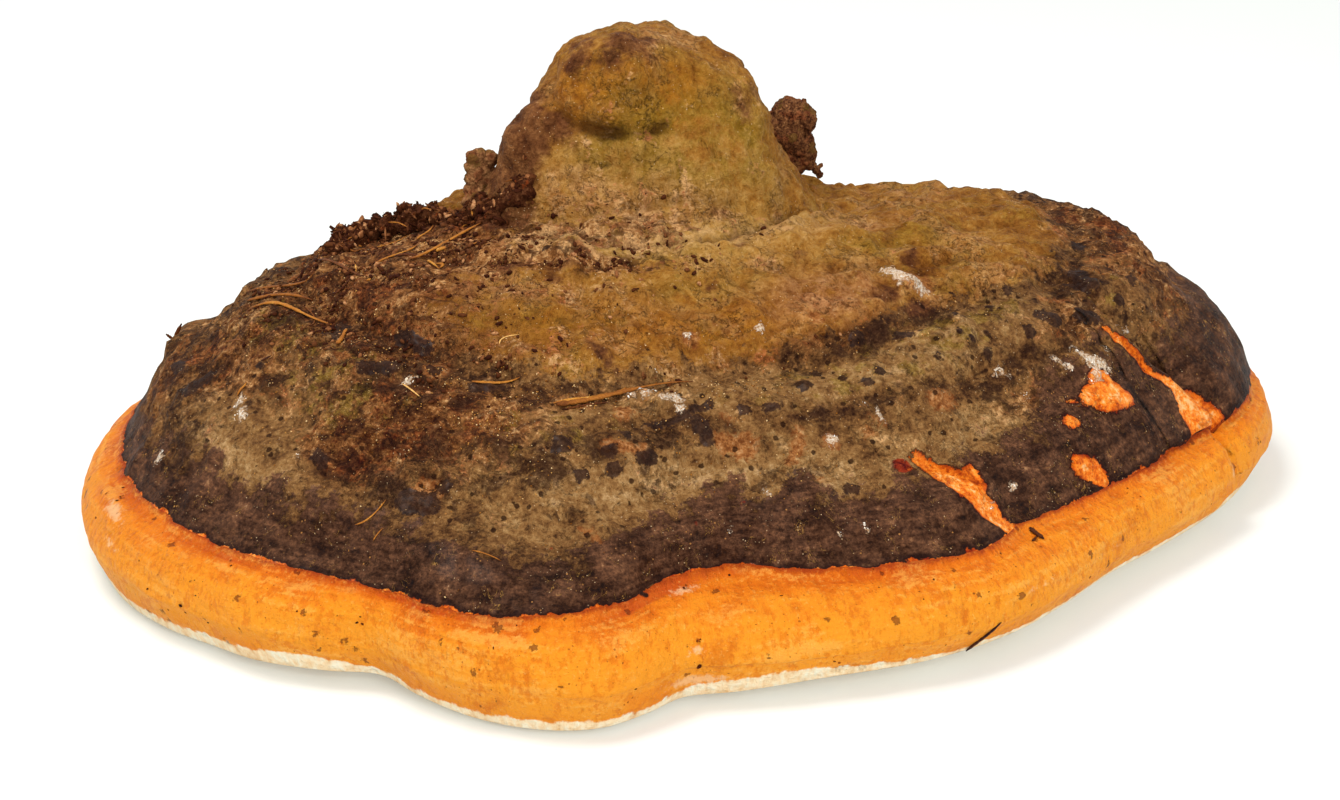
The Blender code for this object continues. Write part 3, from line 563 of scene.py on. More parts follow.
class Wire:
    """One output in a material's nodes. Sums on it add Math nodes, and node() adds any other."""

    def __init__(self, tree, socket=None):
        self.tree = tree
        self.socket = socket

    def node(self, kind, settings=None, sockets=None, output=0):
        made = self.tree.nodes.new("ShaderNode" + kind)
        for name, value in (settings or {}).items():
            if name == "stops":
                ends = made.color_ramp.elements
                (ends[0].position, ends[0].color), (ends[1].position, ends[1].color) = value[0], value[-1]
                for position, colour in value[1:-1]:
                    ends.new(position).color = colour
            else:
                setattr(made, name, value)
        for name, value in (sockets or {}).items():
            if isinstance(value, Wire):
                self.tree.links.new(value.socket, made.inputs[name])
            else:
                made.inputs[name].default_value = value
        return Wire(self.tree, made.outputs[output] if len(made.outputs) else None)

    def math(self, operation, first, *rest):
        return self.node("Math", {"operation": operation}, dict(enumerate((first, *rest))))

    def __add__(self, other):
        return self.math("ADD", self, other)

    def __sub__(self, other):
        return self.math("SUBTRACT", self, other)

    def __rsub__(self, other):
        return self.math("SUBTRACT", other, self)

    def __mul__(self, other):
        return self.math("MULTIPLY", self, other)

    __radd__, __rmul__ = __add__, __mul__

    def size(self):
        return self.math("ABSOLUTE", self)

    def fade(self, start, end):
        """From 0 at start to 1 at end, smoothly."""
        settings = {"interpolation_type": "SMOOTHSTEP"}
        return self.node("MapRange", settings, {"Value": self, "From Min": start, "From Max": end})

    def fact(self, name):
        """A number that the mesh carries at each of its points."""
        return self.node("Attribute", {"attribute_name": name}, output=2)

    def place(self):
        return self.node("TexCoord", output=3)

    def ring_place(self, across, out):
        """The place along and across the growth rings, each in cells of so many millimetres."""
        spot = self.node("Attribute", {"attribute_name": "ring_place"}, output=1)
        cells = (1 / across, 1 / across, 1 / out)
        return self.node("VectorMath", {"operation": "MULTIPLY"}, {0: spot, 1: cells})

    def noise(self, size, detail=3.0, roughness=0.55, at=None, distortion=0.0):
        """Noise of about 0.3 to 0.7, with lumps of that many millimetres."""
        sockets = {
            "Vector": at or self.place(), "Scale": 1 / size if at else 1 / (size * MM),
            "Detail": detail, "Roughness": roughness, "Distortion": distortion,
        }
        return self.node("TexNoise", sockets=sockets)

    def cells(self, size, output=0):
        """How near the middle of a cell of that many millimetres is, or with output 1 each cell's colour."""
        return self.node("TexVoronoi", None, {"Vector": self.place(), "Scale": 1 / (size * MM)}, output)

    def edge_fray(self):
        """How far the crust's ragged edge is from its mean line, as growth."""
        return (self.noise(4.5, 4, 0.6) - 0.5) * 0.045 + (self.noise(1.1, 2) - 0.5) * 0.008

    def ramp(self, *stops):
        return self.node("ValToRGB", {"stops": stops}, {0: self})

    def over(self, under, colour):
        """The colour laid over another one where this mask is 1."""
        return self.node("Mix", {"data_type": "RGBA"}, {0: self, 6: under, 7: colour}, 2)


LIGHT_ON_SKIN = 1.05  # how much brighter than its own colour the lamps make the skin
SHEEN_ON_SKIN = 0.008  # the white light that any skin reflects


def tint(red, green, blue, light=LIGHT_ON_SKIN):
    """The paint that shows as this screen colour, of 0 to 255, under the lamps."""
    linear = [((v / 255 + 0.055) / 1.055) ** 2.4 if v > 10 else v / 255 / 12.92 for v in (red, green, blue)]
    return (*(min(max(value - SHEEN_ON_SKIN, 0.0005) / light, 0.97) for value in linear), 1)


def new_material(name):
    """A material with no nodes in it yet, and a wire to start its nodes from."""
    material = bpy.data.materials.new(name)
    material.use_nodes = True
    material.node_tree.nodes.clear()
    return material, Wire(material.node_tree)


RESIN_ROUGHNESS = 0.3


def surface(wire, colour, roughness, height, shine=0.08, gloss=0.0):
    """Ends a material: its colour, its roughness, its height in millimetres and its resin gloss."""
    bumped = wire.node("Bump", sockets={"Strength": 1.0, "Distance": MM, "Height": height})
    sockets = {"Base Color": colour, "Roughness": roughness, "Normal": bumped, "Specular IOR Level": shine,
               "Coat Weight": gloss, "Coat Roughness": RESIN_ROUGHNESS}
    wire.node("OutputMaterial", sockets={0: wire.node("BsdfPrincipled", sockets=sockets)})


BLACK_TINT = tint(44, 28, 22)

crust, wire = new_material("fungus_crust")
broad, mid, fine = wire.noise(15, 3), wire.noise(4.2, 6, 0.66), wire.noise(0.9, 4, 0.65)
lumps, tiny = wire.noise(2.2, 4, 0.62), wire.noise(0.4, 2, 0.5)
ragged = wire.noise(8, 9, 0.72) - 0.5
streaks = wire.noise(1, 5, 0.65, at=wire.ring_place(7, 1.5))
radial = wire.noise(1, 3, 0.6, at=wire.ring_place(1.1, 9))
crease = (wire.noise(3.6, 6, 0.68, distortion=0.4) - 0.5).size()
tone = wire.fact("tone")

leather_tone = (
    tone + (mid - 0.5) * 0.7 + (lumps - 0.5) * 0.5 + (fine - 0.5) * 0.55 + (broad - 0.5) * 0.4
    + ragged * 0.8 + 0.05
)
leather = leather_tone.ramp(
    (0.0, tint(62, 33, 15)), (0.22, tint(105, 61, 26)), (0.42, tint(142, 90, 38)),
    (0.58, tint(166, 114, 50)), (0.78, tint(190, 142, 76)), (1.0, tint(216, 171, 112)),
)
leather = ((broad + ragged * 1.2).fade(0.48, 0.66) * 0.5).over(
    leather, (lumps + (fine - 0.5)).ramp((0.3, tint(146, 92, 52)), (0.7, tint(202, 148, 94)))
)
leather = ((wire.noise(11, 7, 0.68) + (lumps - 0.5) * 0.3).fade(0.52, 0.62) * 0.4).over(
    leather, (mid + (fine - 0.5)).ramp((0.3, tint(112, 80, 24)), (0.7, tint(168, 128, 50)))
)
leather = (wire.fact("golden") * mid.fade(0.3, 0.6) * 0.8).over(
    leather, lumps.ramp((0.35, tint(124, 68, 16)), (0.65, tint(178, 112, 34)))
)
leather = (wire.fact("rosy") * (ragged + 0.5).fade(0.36, 0.56) * 0.75).over(
    leather, (lumps + (fine - 0.5)).ramp((0.3, tint(140, 84, 50)), (0.7, tint(204, 146, 98)))
)
leather = (wire.fact("olive") * (ragged + 0.5).fade(0.36, 0.58) * 0.7).over(
    leather, (mid + (fine - 0.5)).ramp((0.3, tint(118, 92, 24)), (0.7, tint(162, 128, 44)))
)
crackle = crease.fade(0.016, 0.0) * (ragged + (broad - 0.5)).fade(-0.02, 0.08)
crackle = crackle + (radial - 0.5).size().fade(0.012, 0.0) * wire.noise(6, 6, 0.6).fade(0.53, 0.60) * 0.8
leather = (crackle * 0.7).over(leather, tint(86, 54, 22))

ring_tone = (
    tone + (mid - 0.5) * 0.8 + (lumps - 0.5) * 0.7 + (fine - 0.5) * 1.1 + (streaks - 0.5) * 0.5
    + ragged * 1.5 + 0.03
)
ring = ring_tone.ramp(
    (0.0, tint(48, 29, 20)), (0.2, tint(82, 54, 34)), (0.4, tint(118, 81, 48)), (0.6, tint(146, 105, 62)),
    (0.8, tint(166, 126, 79)), (1.0, tint(194, 154, 106)),
)
rust = (tone + (mid - 0.5) * 1.1 + (lumps - 0.5) * 1.0 + (fine - 0.5) * 1.5 + ragged * 1.6 + 0.10).ramp(
    (0.0, tint(36, 17, 10)), (0.25, tint(72, 39, 22)), (0.5, tint(112, 68, 38)), (0.75, tint(160, 106, 62)),
    (1.0, tint(220, 168, 112)),
)
embers = wire.noise(7, 8, 0.72).fade(0.49, 0.57)
rust = (embers * 0.75).over(
    rust,
    (mid + (fine - 0.5) * 1.4 + ragged).ramp(
        (0.3, tint(62, 26, 15)), (0.5, tint(108, 52, 30)), (0.75, tint(176, 94, 50))
    )
)
flaky = wire.noise(1, 9, 0.70, at=wire.ring_place(10, 4.5), distortion=0.6) + (fine - 0.5) * 0.08
weathered = (wire.fact("rust") + wire.fact("blotch") * 0.5).fade(0.1, 0.6)
lichen = (mid + (fine - 0.5)).ramp(
    (0.3, tint(98, 72, 30)), (0.5, tint(138, 106, 46)), (0.72, tint(176, 142, 78))
)
belt = (
    (mid - 0.5) * 0.9 + (fine - 0.5) * 1.0 + (tiny - 0.5) * 0.3 + (streaks - 0.5) * 1.1 + ragged * 1.2 + 0.44
).ramp(
    (0.0, tint(30, 16, 11)), (0.28, tint(54, 34, 25)), (0.52, tint(82, 54, 39)), (0.76, tint(114, 76, 53)),
    (1.0, tint(166, 122, 84)),
)
dark = (mid + (fine - 0.5) * 1.1 + ragged * 0.8).ramp(
    (0.25, BLACK_TINT), (0.55, tint(66, 44, 33)), (0.8, tint(108, 76, 52))
)

leather_mask = (
    wire.fact("leather") + ragged * 0.32 + (mid - 0.5) * 0.08 + (streaks - 0.5) * 0.05
).fade(-0.012, 0.016)
rust_mask = (wire.fact("rust") + ragged * 2.4 + (mid - 0.5) * 0.8 + (fine - 0.5) * 0.9).fade(0.18, 0.55)
belt_mask = (
    wire.fact("belt") + ragged * 0.38 + (mid - 0.5) * 0.10 + (fine - 0.5) * 0.06
).fade(-0.010, 0.016)
outer = 1 - leather_mask * 0.85
colour = leather_mask.over(ring, leather)
colour = (rust_mask * 0.92).over(colour, rust)
colour = ((1 - flaky).fade(0.525, 0.57) * weathered * 0.5).over(
    colour, (lumps + (fine - 0.5)).ramp((0.3, tint(108, 66, 38)), (0.7, tint(164, 116, 68)))
)
colour = (flaky.fade(0.515, 0.545) * weathered * 0.72).over(
    colour, (lumps + (fine - 0.5)).ramp((0.35, tint(44, 26, 19)), (0.75, tint(88, 54, 36)))
)
lichen_mask = (wire.noise(4.5, 8, 0.7) + wire.fact("lichen") * 0.10).fade(0.55, 0.66)
colour = (lichen_mask * wire.fact("lichen").fade(0.05, 0.4) * 0.75).over(colour, lichen)
blotch_noise = wire.noise(5.5, 9, 0.74, distortion=0.4)
blotch_mask = (blotch_noise + wire.fact("blotch") * 0.11).fade(0.55, 0.65) * outer
colour = (blotch_mask * 0.8).over(colour, dark)
fray = (wire.noise(1.7, 7, 0.78) + wire.fact("blotch") * 0.05).fade(0.57, 0.66) * outer
colour = (fray * 0.72).over(colour, tint(54, 34, 25))
# Fine pale specks on the outer crust, partly dust and partly painted highlights
grit = wire.noise(0.55, 4, 0.7).fade(0.62, 0.74) * outer
colour = (grit * 0.4).over(colour, tint(190, 144, 98))
colour = belt_mask.over(colour, belt)
# Painted shade: the crust darkens where the grooves run deep, as under the knob's boss and along the furrows
groove_shade_mask = (wire.fact("hollow") + ragged * 2.2 + (fine - 0.5) * 0.8).fade(0.45, 2.3)
colour = (groove_shade_mask * 0.75).over(colour, tint(64, 34, 17))
plum_mask = (wire.fact("plum") + ragged * 11 + (lumps - 0.5) * 4).fade(1.6, -1.8)
plum = (mid + (fine - 0.5) * 0.9 + ragged * 0.9 + (lumps - 0.5) * 0.4).ramp(
    (0.2, tint(62, 34, 26)), (0.5, tint(104, 62, 42)), (0.8, tint(150, 98, 62))
)
colour = (plum_mask * 0.84).over(colour, plum)
peach_mask = (wire.fact("peach") + (mid - 0.5) * 6 + (fine - 0.5) * 4).fade(0.5, -0.9)
peach = (lumps + (fine - 0.5) * 1.2).ramp(
    (0.3, tint(122, 66, 34)), (0.55, tint(176, 112, 62)), (0.75, tint(214, 156, 104))
)
colour = (peach_mask * 0.8).over(colour, peach)
pits = wire.cells(2.4)
pit_pick = wire.node("SeparateColor", sockets={0: wire.cells(2.4, output=1)})
dot_mask = (pits + (fine - 0.5) * 0.3).fade(0.27, 0.18) * pit_pick.fade(0.60, 0.63)
colour = (dot_mask * outer * (1 - belt_mask) * 0.85).over(colour, tint(48, 30, 22))
blister_gap = wire.fact("blister") + (mid - 0.5) * 4.5 + (lumps - 0.5) * 1.6 + (fine - 0.5) * 1.2
blister_mask = blister_gap.fade(0.25, -0.15)
colour = (blister_mask * 0.92).over(
    colour, (mid + fine - 0.5).ramp((0.35, BLACK_TINT), (0.75, tint(74, 50, 38)))
)
frayed_edge = wire.fact("growth") + wire.edge_fray()
colour = (frayed_edge.fade(0.984, 0.998) * 0.7).over(colour, tint(36, 16, 9))
orange_gap = (
    wire.fact("orange") + ragged * 4.5 + (mid - 0.5) * 2.4 + (lumps - 0.5) * 1.6
    + (fine - 0.5) * 1.2
)
colour = (orange_gap.fade(1.0, 0.2) * 0.8).over(colour, tint(50, 20, 12))
orange = (lumps + (fine - 0.5) * 0.8 + ragged * 1.2 - orange_gap.fade(-0.8, 0.2) * 0.16 + 0.09).ramp(
    (0.2, tint(130, 40, 8)), (0.38, tint(190, 78, 16)), (0.52, tint(232, 114, 30)),
    (0.66, tint(248, 146, 52)), (0.8, tint(252, 186, 120)),
)
orange_mask = wire.math("MAXIMUM", orange_gap.fade(0.3, -0.05), frayed_edge.fade(0.999, 1.0015))
colour = orange_mask.over(colour, orange)
red_mask = (wire.fact("red") + (lumps - 0.5) * 1.6).fade(0.2, -0.3)
colour = (red_mask * (1 - orange_mask)).over(
    colour, lumps.ramp((0.35, tint(92, 24, 12)), (0.65, tint(172, 66, 36)))
)
white_mask = (wire.fact("white") + (lumps - 0.5) * 4.5 + (fine - 0.5) * 4.5 + ragged * 4).fade(0.1, -0.5)
colour = (white_mask * 0.85).over(
    colour,
    (fine + (tiny - 0.5)).ramp(
        (0.3, tint(184, 138, 98)), (0.5, tint(232, 204, 172)), (0.7, tint(253, 244, 230))
    )
)
speck_area = wire.noise(9, 5, 0.6)
speck_dots = (wire.cells(1.5) + (fine - 0.5) * 0.25).fade(0.15, 0.08)
speck_mask = speck_dots * (speck_area + rust_mask * 0.10).fade(0.50, 0.58)
colour = (speck_mask * outer * 0.75).over(colour, tint(186, 128, 70))
# Small whitish specks, partly real flecks and partly painted highlights
pale_specks_and_highlights = (wire.cells(0.95) + (fine - 0.5) * 0.2).fade(0.13, 0.08) * wire.noise(5, 4).fade(0.48, 0.56)
colour = (pale_specks_and_highlights * 0.7).over(colour, tint(224, 190, 146))
thread = (wire.noise(1, 3, 0.55, at=wire.ring_place(3.4, 3.4), distortion=1.2) - 0.5).size()
thread_mask = thread.fade(0.007, 0.0) * wire.noise(5, 3).fade(0.53, 0.58) * (belt_mask + rust_mask * 0.6)
colour = (thread_mask * 0.75).over(colour, tint(176, 130, 66))

roughness = 0.66 - blister_mask * 0.2 - belt_mask * 0.1 + (mid - 0.5) * 0.3 + rust_mask * 0.15
height = (mid - 0.5) * 0.8 + (lumps - 0.5) * 1.0 + (fine - 0.5) * 1.0 + (tiny - 0.5) * 0.35 + ragged * 1.4
height = height - crackle * 0.3 + (radial - 0.5) * belt_mask * 0.6
height = height * (1 - blister_mask * 0.4 - belt_mask * 0.45) - dot_mask * 0.15 + blotch_mask * 0.12
gloss = (belt_mask * 0.06 + blister_mask * 0.12 + orange_mask * 0.25) * (ragged + 0.5).fade(0.40, 0.62)
surface(wire, colour, roughness, height + white_mask * 0.3 - orange_gap.fade(0.5, 0.0) * 0.15, gloss=gloss)

rim, wire = new_material("fungus_rim")
growth = wire.fact("growth")
fibre = wire.noise(1, 4, 0.6, at=wire.ring_place(1.1, 12))
band = wire.noise(1, 2, 0.5, at=wire.ring_place(24, 7))
mid, lumps = wire.noise(3.6, 4, 0.6), wire.noise(1.7, 3)
fine, broad = wire.noise(0.6, 3, 0.6), wire.noise(14, 2)
grainy = wire.noise(1.3, 7, 0.78) - 0.5
depth = (
    growth + (band - 0.5) * 0.3 + (mid - 0.5) * 0.4 + (fibre - 0.5) * 0.22 - (broad - 0.5) * 0.5
    + grainy * 0.3 + 0.03
)
colour = (depth - 1).ramp(
    (0.0, tint(200, 86, 18)), (0.07, tint(222, 108, 24)), (0.18, tint(238, 130, 30)),
    (0.36, tint(246, 150, 37)), (0.58, tint(248, 156, 42)), (0.80, tint(246, 157, 45)),
    (0.92, tint(242, 148, 40)), (1.0, tint(236, 136, 34)),
)
colour = (
    (broad + grainy * 1.0 + (band - 0.5) * 0.8).fade(0.50, 0.72) * 0.45
).over(colour, tint(255, 184, 84))
colour = (
    (1 - (mid + grainy * 1.2 + (fibre - 0.5) * 1.2)).fade(0.52, 0.72) * 0.5
).over(colour, tint(220, 112, 20))
# Red blush under the crust's edge, and painted shade over the rim's left side
blush_and_shade_mask = (wire.fact("blush") + grainy * 2.0 + (mid - 0.5) * 1.4 + (fibre - 0.5) * 1.0).fade(0.3, 0.95)
colour = (blush_and_shade_mask * 0.65).over(colour, tint(188, 66, 28))
stain_mask = (wire.noise(8, 9, 0.68) + (fine - 0.5) * 0.2).fade(0.55, 0.68)
colour = (stain_mask * 0.5).over(colour, tint(204, 96, 20))
# Pale bloom on the rim, with a painted highlight along the fold's edge
bloom_and_highlight_mask = (wire.fact("bloom") + (lumps - 0.5) * 1.2 + (fine - 0.5) * 1.0).fade(0.35, 0.8)
colour = (bloom_and_highlight_mask * 0.6).over(colour, tint(250, 206, 156))
# Small pale flecks on the orange rim, partly real and partly painted highlights
colour = ((fine + grainy * 0.9).fade(0.60, 0.74) * 0.3).over(colour, tint(255, 192, 96))
dots = (wire.cells(1.3) + (fine - 0.5) * 0.5).fade(0.15, 0.07) * wire.noise(10, 3).fade(0.52, 0.60)
colour = (dots * 0.7).over(colour, tint(150, 70, 14))
scars = (wire.cells(6) + (fine - 0.5) * 0.35 + (lumps - 0.5) * 0.4).fade(0.12, 0.06)
colour = (scars * 0.7).over(colour, tint(110, 48, 14))
fold_shade = (wire.fact("hollow") + grainy * 0.8).fade(0.5, 1.6)
colour = (fold_shade * 0.6).over(colour, tint(168, 70, 14))
frayed_edge = growth + wire.edge_fray()
edge_shade = (frayed_edge + grainy * 0.08).fade(1.035, 1.0)
colour = (edge_shade * 0.75).over(colour, tint(150, 52, 12))
colour = frayed_edge.fade(1.0015, 0.999).over(colour, tint(46, 24, 15))
CREAM_LIGHT = 0.96
cream = (mid + (fibre - 0.5) * 0.6).ramp(
    (0.3, tint(234, 192, 138, CREAM_LIGHT)), (0.5, tint(250, 222, 180, CREAM_LIGHT)),
    (0.7, tint(255, 241, 216, CREAM_LIGHT)),
)
lip_mask = (wire.fact("lip") + (mid - 0.5) * 0.12 + (fibre - 0.5) * 0.04).fade(-0.010, 0.014)
colour = lip_mask.over(colour, cream)
colour = (wire.fact("blister") + (lumps - 0.5) * 2).fade(0.3, -0.2).over(colour, BLACK_TINT)
height = (
    (fibre - 0.5) * 0.8 + (fine - 0.5) * 0.4 + (band - 0.5) * 0.6 + (mid - 0.5) * 1.3
    + (lumps - 0.5) * 0.8
)
surface(wire, colour, 0.55 + (mid - 0.5) * 0.3, height + grainy * 0.6 - scars * 0.3, shine=0.14)

pores, wire = new_material("fungus_pores")
tubes, lumps = wire.cells(0.5), wire.noise(9, 3)
colour = lumps.ramp((0.3, tint(234, 208, 168)), (0.5, tint(246, 228, 196)), (0.7, tint(252, 240, 216)))
colour = (tubes.fade(0.42, 0.2) * 0.35).over(colour, tint(196, 158, 108))
surface(wire, colour, 0.8, tubes.fade(0.2, 0.5) * 0.2 + lumps * 0.8)

flesh, wire = new_material("fungus_flesh")
layers = wire.noise(
    1, 4, 0.6, at=wire.node("VectorMath", {"operation": "MULTIPLY"}, {0: wire.place(), 1: (120, 120, 700)})
)
fine, broad = wire.noise(0.8, 3), wire.noise(12, 3)
colour = (layers + (broad - 0.5) * 0.8 + (fine - 0.5) * 0.4).ramp(
    (0.25, tint(150, 96, 48)), (0.45, tint(196, 148, 92)), (0.6, tint(222, 182, 126)),
    (0.78, tint(238, 208, 160)),
)
surface(wire, colour, 0.9, layers * 0.8 + fine * 0.4)

for material in (crust, rim, pores, flesh):
    bracket_mesh.materials.append(material)
bracket = bpy.data.objects.new("bracket_fungus", bracket_mesh)
bpy.context.scene.collection.objects.link(bracket)
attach(bracket, "root")
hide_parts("bracket")


# The bark that came away from the trunk with the fungus: a rounded clod behind the knob, and a flat
# chip that stands at the knob's left foot. Both are dark, corky and crumbly.
CLOD_LUMPS = [  # (x, y, z, radius) in millimetres from the hub
    (36.2, 27, 71.4, 4.6), (38.8, 26, 71.2, 3.3), (38.2, 26, 73.2, 2.4), (33.6, 27, 69.6, 3.6),
    (35.6, 26, 68, 4.0), (38.4, 27, 65.2, 3.6), (39.8, 26.5, 62.8, 2.5), (36.8, 28, 61.4, 4.0),
    (40.8, 26, 60.6, 1.3), (42.0, 25.5, 59.6, 1.0), (42.8, 25.5, 58.4, 0.8), (43.0, 25.5, 60.6, 0.5),
]
CHIP_LUMPS = [
    (-34.8, 13, 70.0, 1.5), (-35.0, 13.2, 67.8, 1.6), (-35.0, 13, 65.4, 1.7), (-35.1, 13, 63.0, 1.8),
    (-33.2, 13.6, 70.4, 1.5), (-32.6, 14, 67.4, 2.2), (-32.4, 14, 64.6, 2.4), (-33, 14, 62, 2.6),
    (-35.4, 12, 60.4, 2.0), (-33, 12, 59.5, 2.8), (-31, 14, 69.4, 1.9), (-30.6, 14, 65, 2.6),
    (-34, 13.5, 66.5, 2.2), (-34, 12.6, 62, 2.6), (-33, 12.5, 56.5, 3.0),
]


def pebble(fineness):
    """Points and faces of a round pebble with a radius of 1."""
    bm = bmesh.new()
    bmesh.ops.create_icosphere(bm, subdivisions=fineness, radius=1)
    points = np.array([vertex.co for vertex in bm.verts])
    faces = np.array([[vertex.index for vertex in face.verts] for face in bm.faces])
    bm.free()
    return points, faces


def grow_together(name, lumps, nubs, voxel, grit, seed):
    """One closed mesh of lumps with smaller nubs all over them and a gritty surface."""
    draws = np.random.default_rng(seed)
    balls = list(lumps)
    for x, y, z, radius in lumps:
        for way in draws.normal(size=(nubs, 3)):
            middle = np.array((x, y, z)) + way / np.linalg.norm(way) * radius * draws.uniform(0.7, 0.95)
            balls.append((*middle, radius * draws.uniform(0.12, 0.32)))
    balls = np.array(balls)
    ball_points, ball_faces = pebble(2)
    points = balls[:, None, :3] + ball_points * balls[:, None, 3:]
    numbered = ball_faces + len(ball_points) * np.arange(len(balls))[:, None, None]
    rough = bpy.data.meshes.new(name)
    rough.from_pydata(points.reshape(-1, 3).tolist(), [], numbered.reshape(-1, 3).tolist())
    holder = bpy.data.objects.new(name, rough)
    bpy.context.scene.collection.objects.link(holder)
    joined = holder.modifiers.new("joined", "REMESH")
    joined.mode, joined.voxel_size = "VOXEL", voxel
    mesh = bpy.data.meshes.new_from_object(holder.evaluated_get(bpy.context.evaluated_depsgraph_get()))
    bpy.data.objects.remove(holder)
    points = np.array([vertex.co for vertex in mesh.vertices])
    outward = np.array([vertex.normal for vertex in mesh.vertices])
    points += outward * (
        grit * grain(points, 1.5, seed) + grit * 0.5 * grain(points, 0.6, seed + 1)
    )[:, None]
    return points, [tuple(face.vertices) for face in mesh.polygons]


def stand_in_for(name, mesh, material, slot, *nodes):
    """Puts a finished piece in the scene, riding with the bracket."""
    mesh.materials.append(material)
    piece = bpy.data.objects.new(name, mesh)
    bpy.context.scene.collection.objects.link(piece)
    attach(piece, "root")
    if nodes:
        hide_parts(*nodes)


cork, wire = new_material("bark_cork")
broad, mid, fine = wire.noise(3.2, 3), wire.noise(1.3, 4, 0.6), wire.noise(0.4, 3)
colour = (mid + (fine - 0.5) * 0.8 + wire.fact("pale")).ramp(
    (0.25, tint(48, 28, 20)), (0.45, tint(90, 56, 38)), (0.6, tint(124, 82, 52)), (0.8, tint(176, 126, 82)),
)
colour = ((broad + (fine - 0.5) * 0.4).fade(0.52, 0.62) * 0.7).over(
    colour, mid.ramp((0.3, tint(92, 46, 30)), (0.7, tint(150, 88, 56)))
)
colour = ((wire.noise(4.4, 2) + (mid - 0.5) * 0.5).fade(0.56, 0.64) * 0.6).over(colour, tint(98, 74, 34))
surface(wire, colour, 0.85, mid * 0.8 + fine * 0.4)

clod = new_mesh("bark_clod", *grow_together("bark_clod", CLOD_LUMPS, 12, 0.22, 0.3, 3))
stand_in_for("bark_clod", clod, cork, "bark", "bark_right")
chip = new_mesh("bark_chip", *grow_together("bark_chip", CHIP_LUMPS, 10, 0.18, 0.22, 8))
CHIP_PALER = 0.16
chip.attributes.new("pale", "FLOAT", "POINT").data.foreach_set("value", [CHIP_PALER] * len(chip.vertices))
stand_in_for("bark_chip", chip, cork, "bark", "bark_left")


# The crust of soil and rotten bark on the left shoulder: crumbs of all sizes, stuck in one dark heap
# that thins out towards the knob's foot.
surface_points = np.array(shaped) / MM - (*HUB, 0)
net = np.array(faces[:(rows - 1) * columns])
corners = surface_points[net]
net_spans = np.cross(corners[:, 2] - corners[:, 0], corners[:, 3] - corners[:, 1])
crown_tree = BVHTree.FromPolygons(surface_points.tolist(), faces)


ABOVE, DOWN = 200, Vector((0, 0, -1))  # a height over the whole bracket, and the way to look down from it


def ground(x, y):
    """The height of the crown under a point."""
    return crown_tree.ray_cast(Vector((x, y, ABOVE)), DOWN)[0].z


HEAP = [  # the line of its ridge, as (x, y, how thick, how wide)
    (-64, 6, 1.0, 4), (-61.5, 13, 3.6, 6), (-54, 15, 5.0, 9), (-45, 15, 5.6, 8.5), (-40, 9, 3.8, 6),
    (-35, 2, 2.6, 4.5), (-30, -1.5, 1.6, 3), (-25, -3, 0.8, 2),
]
HEAP_CRUMBS = 420
draws = np.random.default_rng(21)
heap_lumps = []
ridge = np.array(HEAP, float)
for _ in range(HEAP_CRUMBS):
    along_ridge = draws.uniform(0, len(ridge) - 1)
    x, y, thick, wide = (np.interp(along_ridge, range(len(ridge)), ridge[:, column]) for column in range(4))
    aside, turn = abs(draws.normal(0, 0.42)), draws.uniform(0, 2 * np.pi)
    if aside > 1.1:
        continue
    x, y = x + np.cos(turn) * aside * wide, y + np.sin(turn) * aside * wide
    if y > TRUNK_SIDE - 4:
        continue
    radius = (0.35 + 1.7 * draws.random() ** 2) * (1 - 0.45 * aside)
    heap_lumps.append(
        (x, y, ground(x, y) + thick * max(1 - aside**2, 0) * draws.uniform(0.2, 1.0) - radius * 0.5, radius)
    )
heap_points, heap_faces = grow_together("litter_heap", heap_lumps, 6, 0.26, 0.34, 5)

soil, wire = new_material("soil_crumbs")
mid, fine = wire.noise(2.6, 8, 0.74), wire.noise(0.4, 3, 0.7)
crumb = wire.node("SeparateColor", sockets={0: wire.cells(0.9, output=1)})
colour = (mid * 0.75 + crumb * 0.25 + (fine - 0.5) * 0.7).ramp(
    (0.25, tint(48, 26, 17)), (0.45, tint(76, 43, 28)), (0.6, tint(96, 58, 39)), (0.75, tint(126, 82, 54)),
    (0.88, tint(176, 130, 94)),
)
colour = (crumb.fade(0.88, 0.92) * mid.fade(0.45, 0.6)).over(colour, tint(128, 62, 34))
surface(wire, colour, 0.9, mid * 1.0 + fine * 0.5)
stand_in_for("litter_heap", new_mesh("litter_heap", heap_points, heap_faces), soil, "litter", "litter")


# Loose grains: soil crumbs on the left side and along a crease of the crown, golden sand in the furrow
# under the old crust, whitish flakes of dried resin, and specks of dirt on the rim.
SOIL_COUNT, FLAKE_COUNT, SAND_COUNT, SPECK_COUNT = 4600, 1500, 2600, 300
FLAKES_A_SPOT, CRUMBS_A_SPECK = 7, 5
SOIL_PATCHES = [
    (-165, 0.25, 30, 16, 1.0), (-150, 0.42, 20, 12, 0.8), (-142, 0.17, 12, 3, 2.2),
    (-124, 0.195, 14, 1.8, 2.2), (-110, 0.18, 8, 1.2, 0.8), (-152, 0.12, 10, 4, 2.0),
    (-168, 0.52, 20, 10, 0.8), (-135, 0.55, 20, 8, 0.35), (-156, -0.04, 8, 4, 1.6),
    (-175, 0.4, 30, 14, 0.8), (-120, 0.50, 10, 3, 0.5), (-98, 0.55, 8, 2.5, 0.8), (-66, 0.5, 8, 2, 0.3),
]
SAND_PATCHES = [
    (-105, 0.56, 26, 4, 1.0), (-78, 0.585, 22, 3, 0.7), (-118, 0.66, 8, 8, 0.8), (-160, 0.4, 30, 18, 0.6),
    (-140, 0.6, 30, 14, 0.5), (-128, 0.19, 18, 3, 0.8), (-45, 0.55, 20, 4, 0.3), (-100, 0.7, 40, 14, 0.25),
    (-95, 0.3, 30, 20, 0.05), (-100, -0.5, 20, 20, 0.06),
]


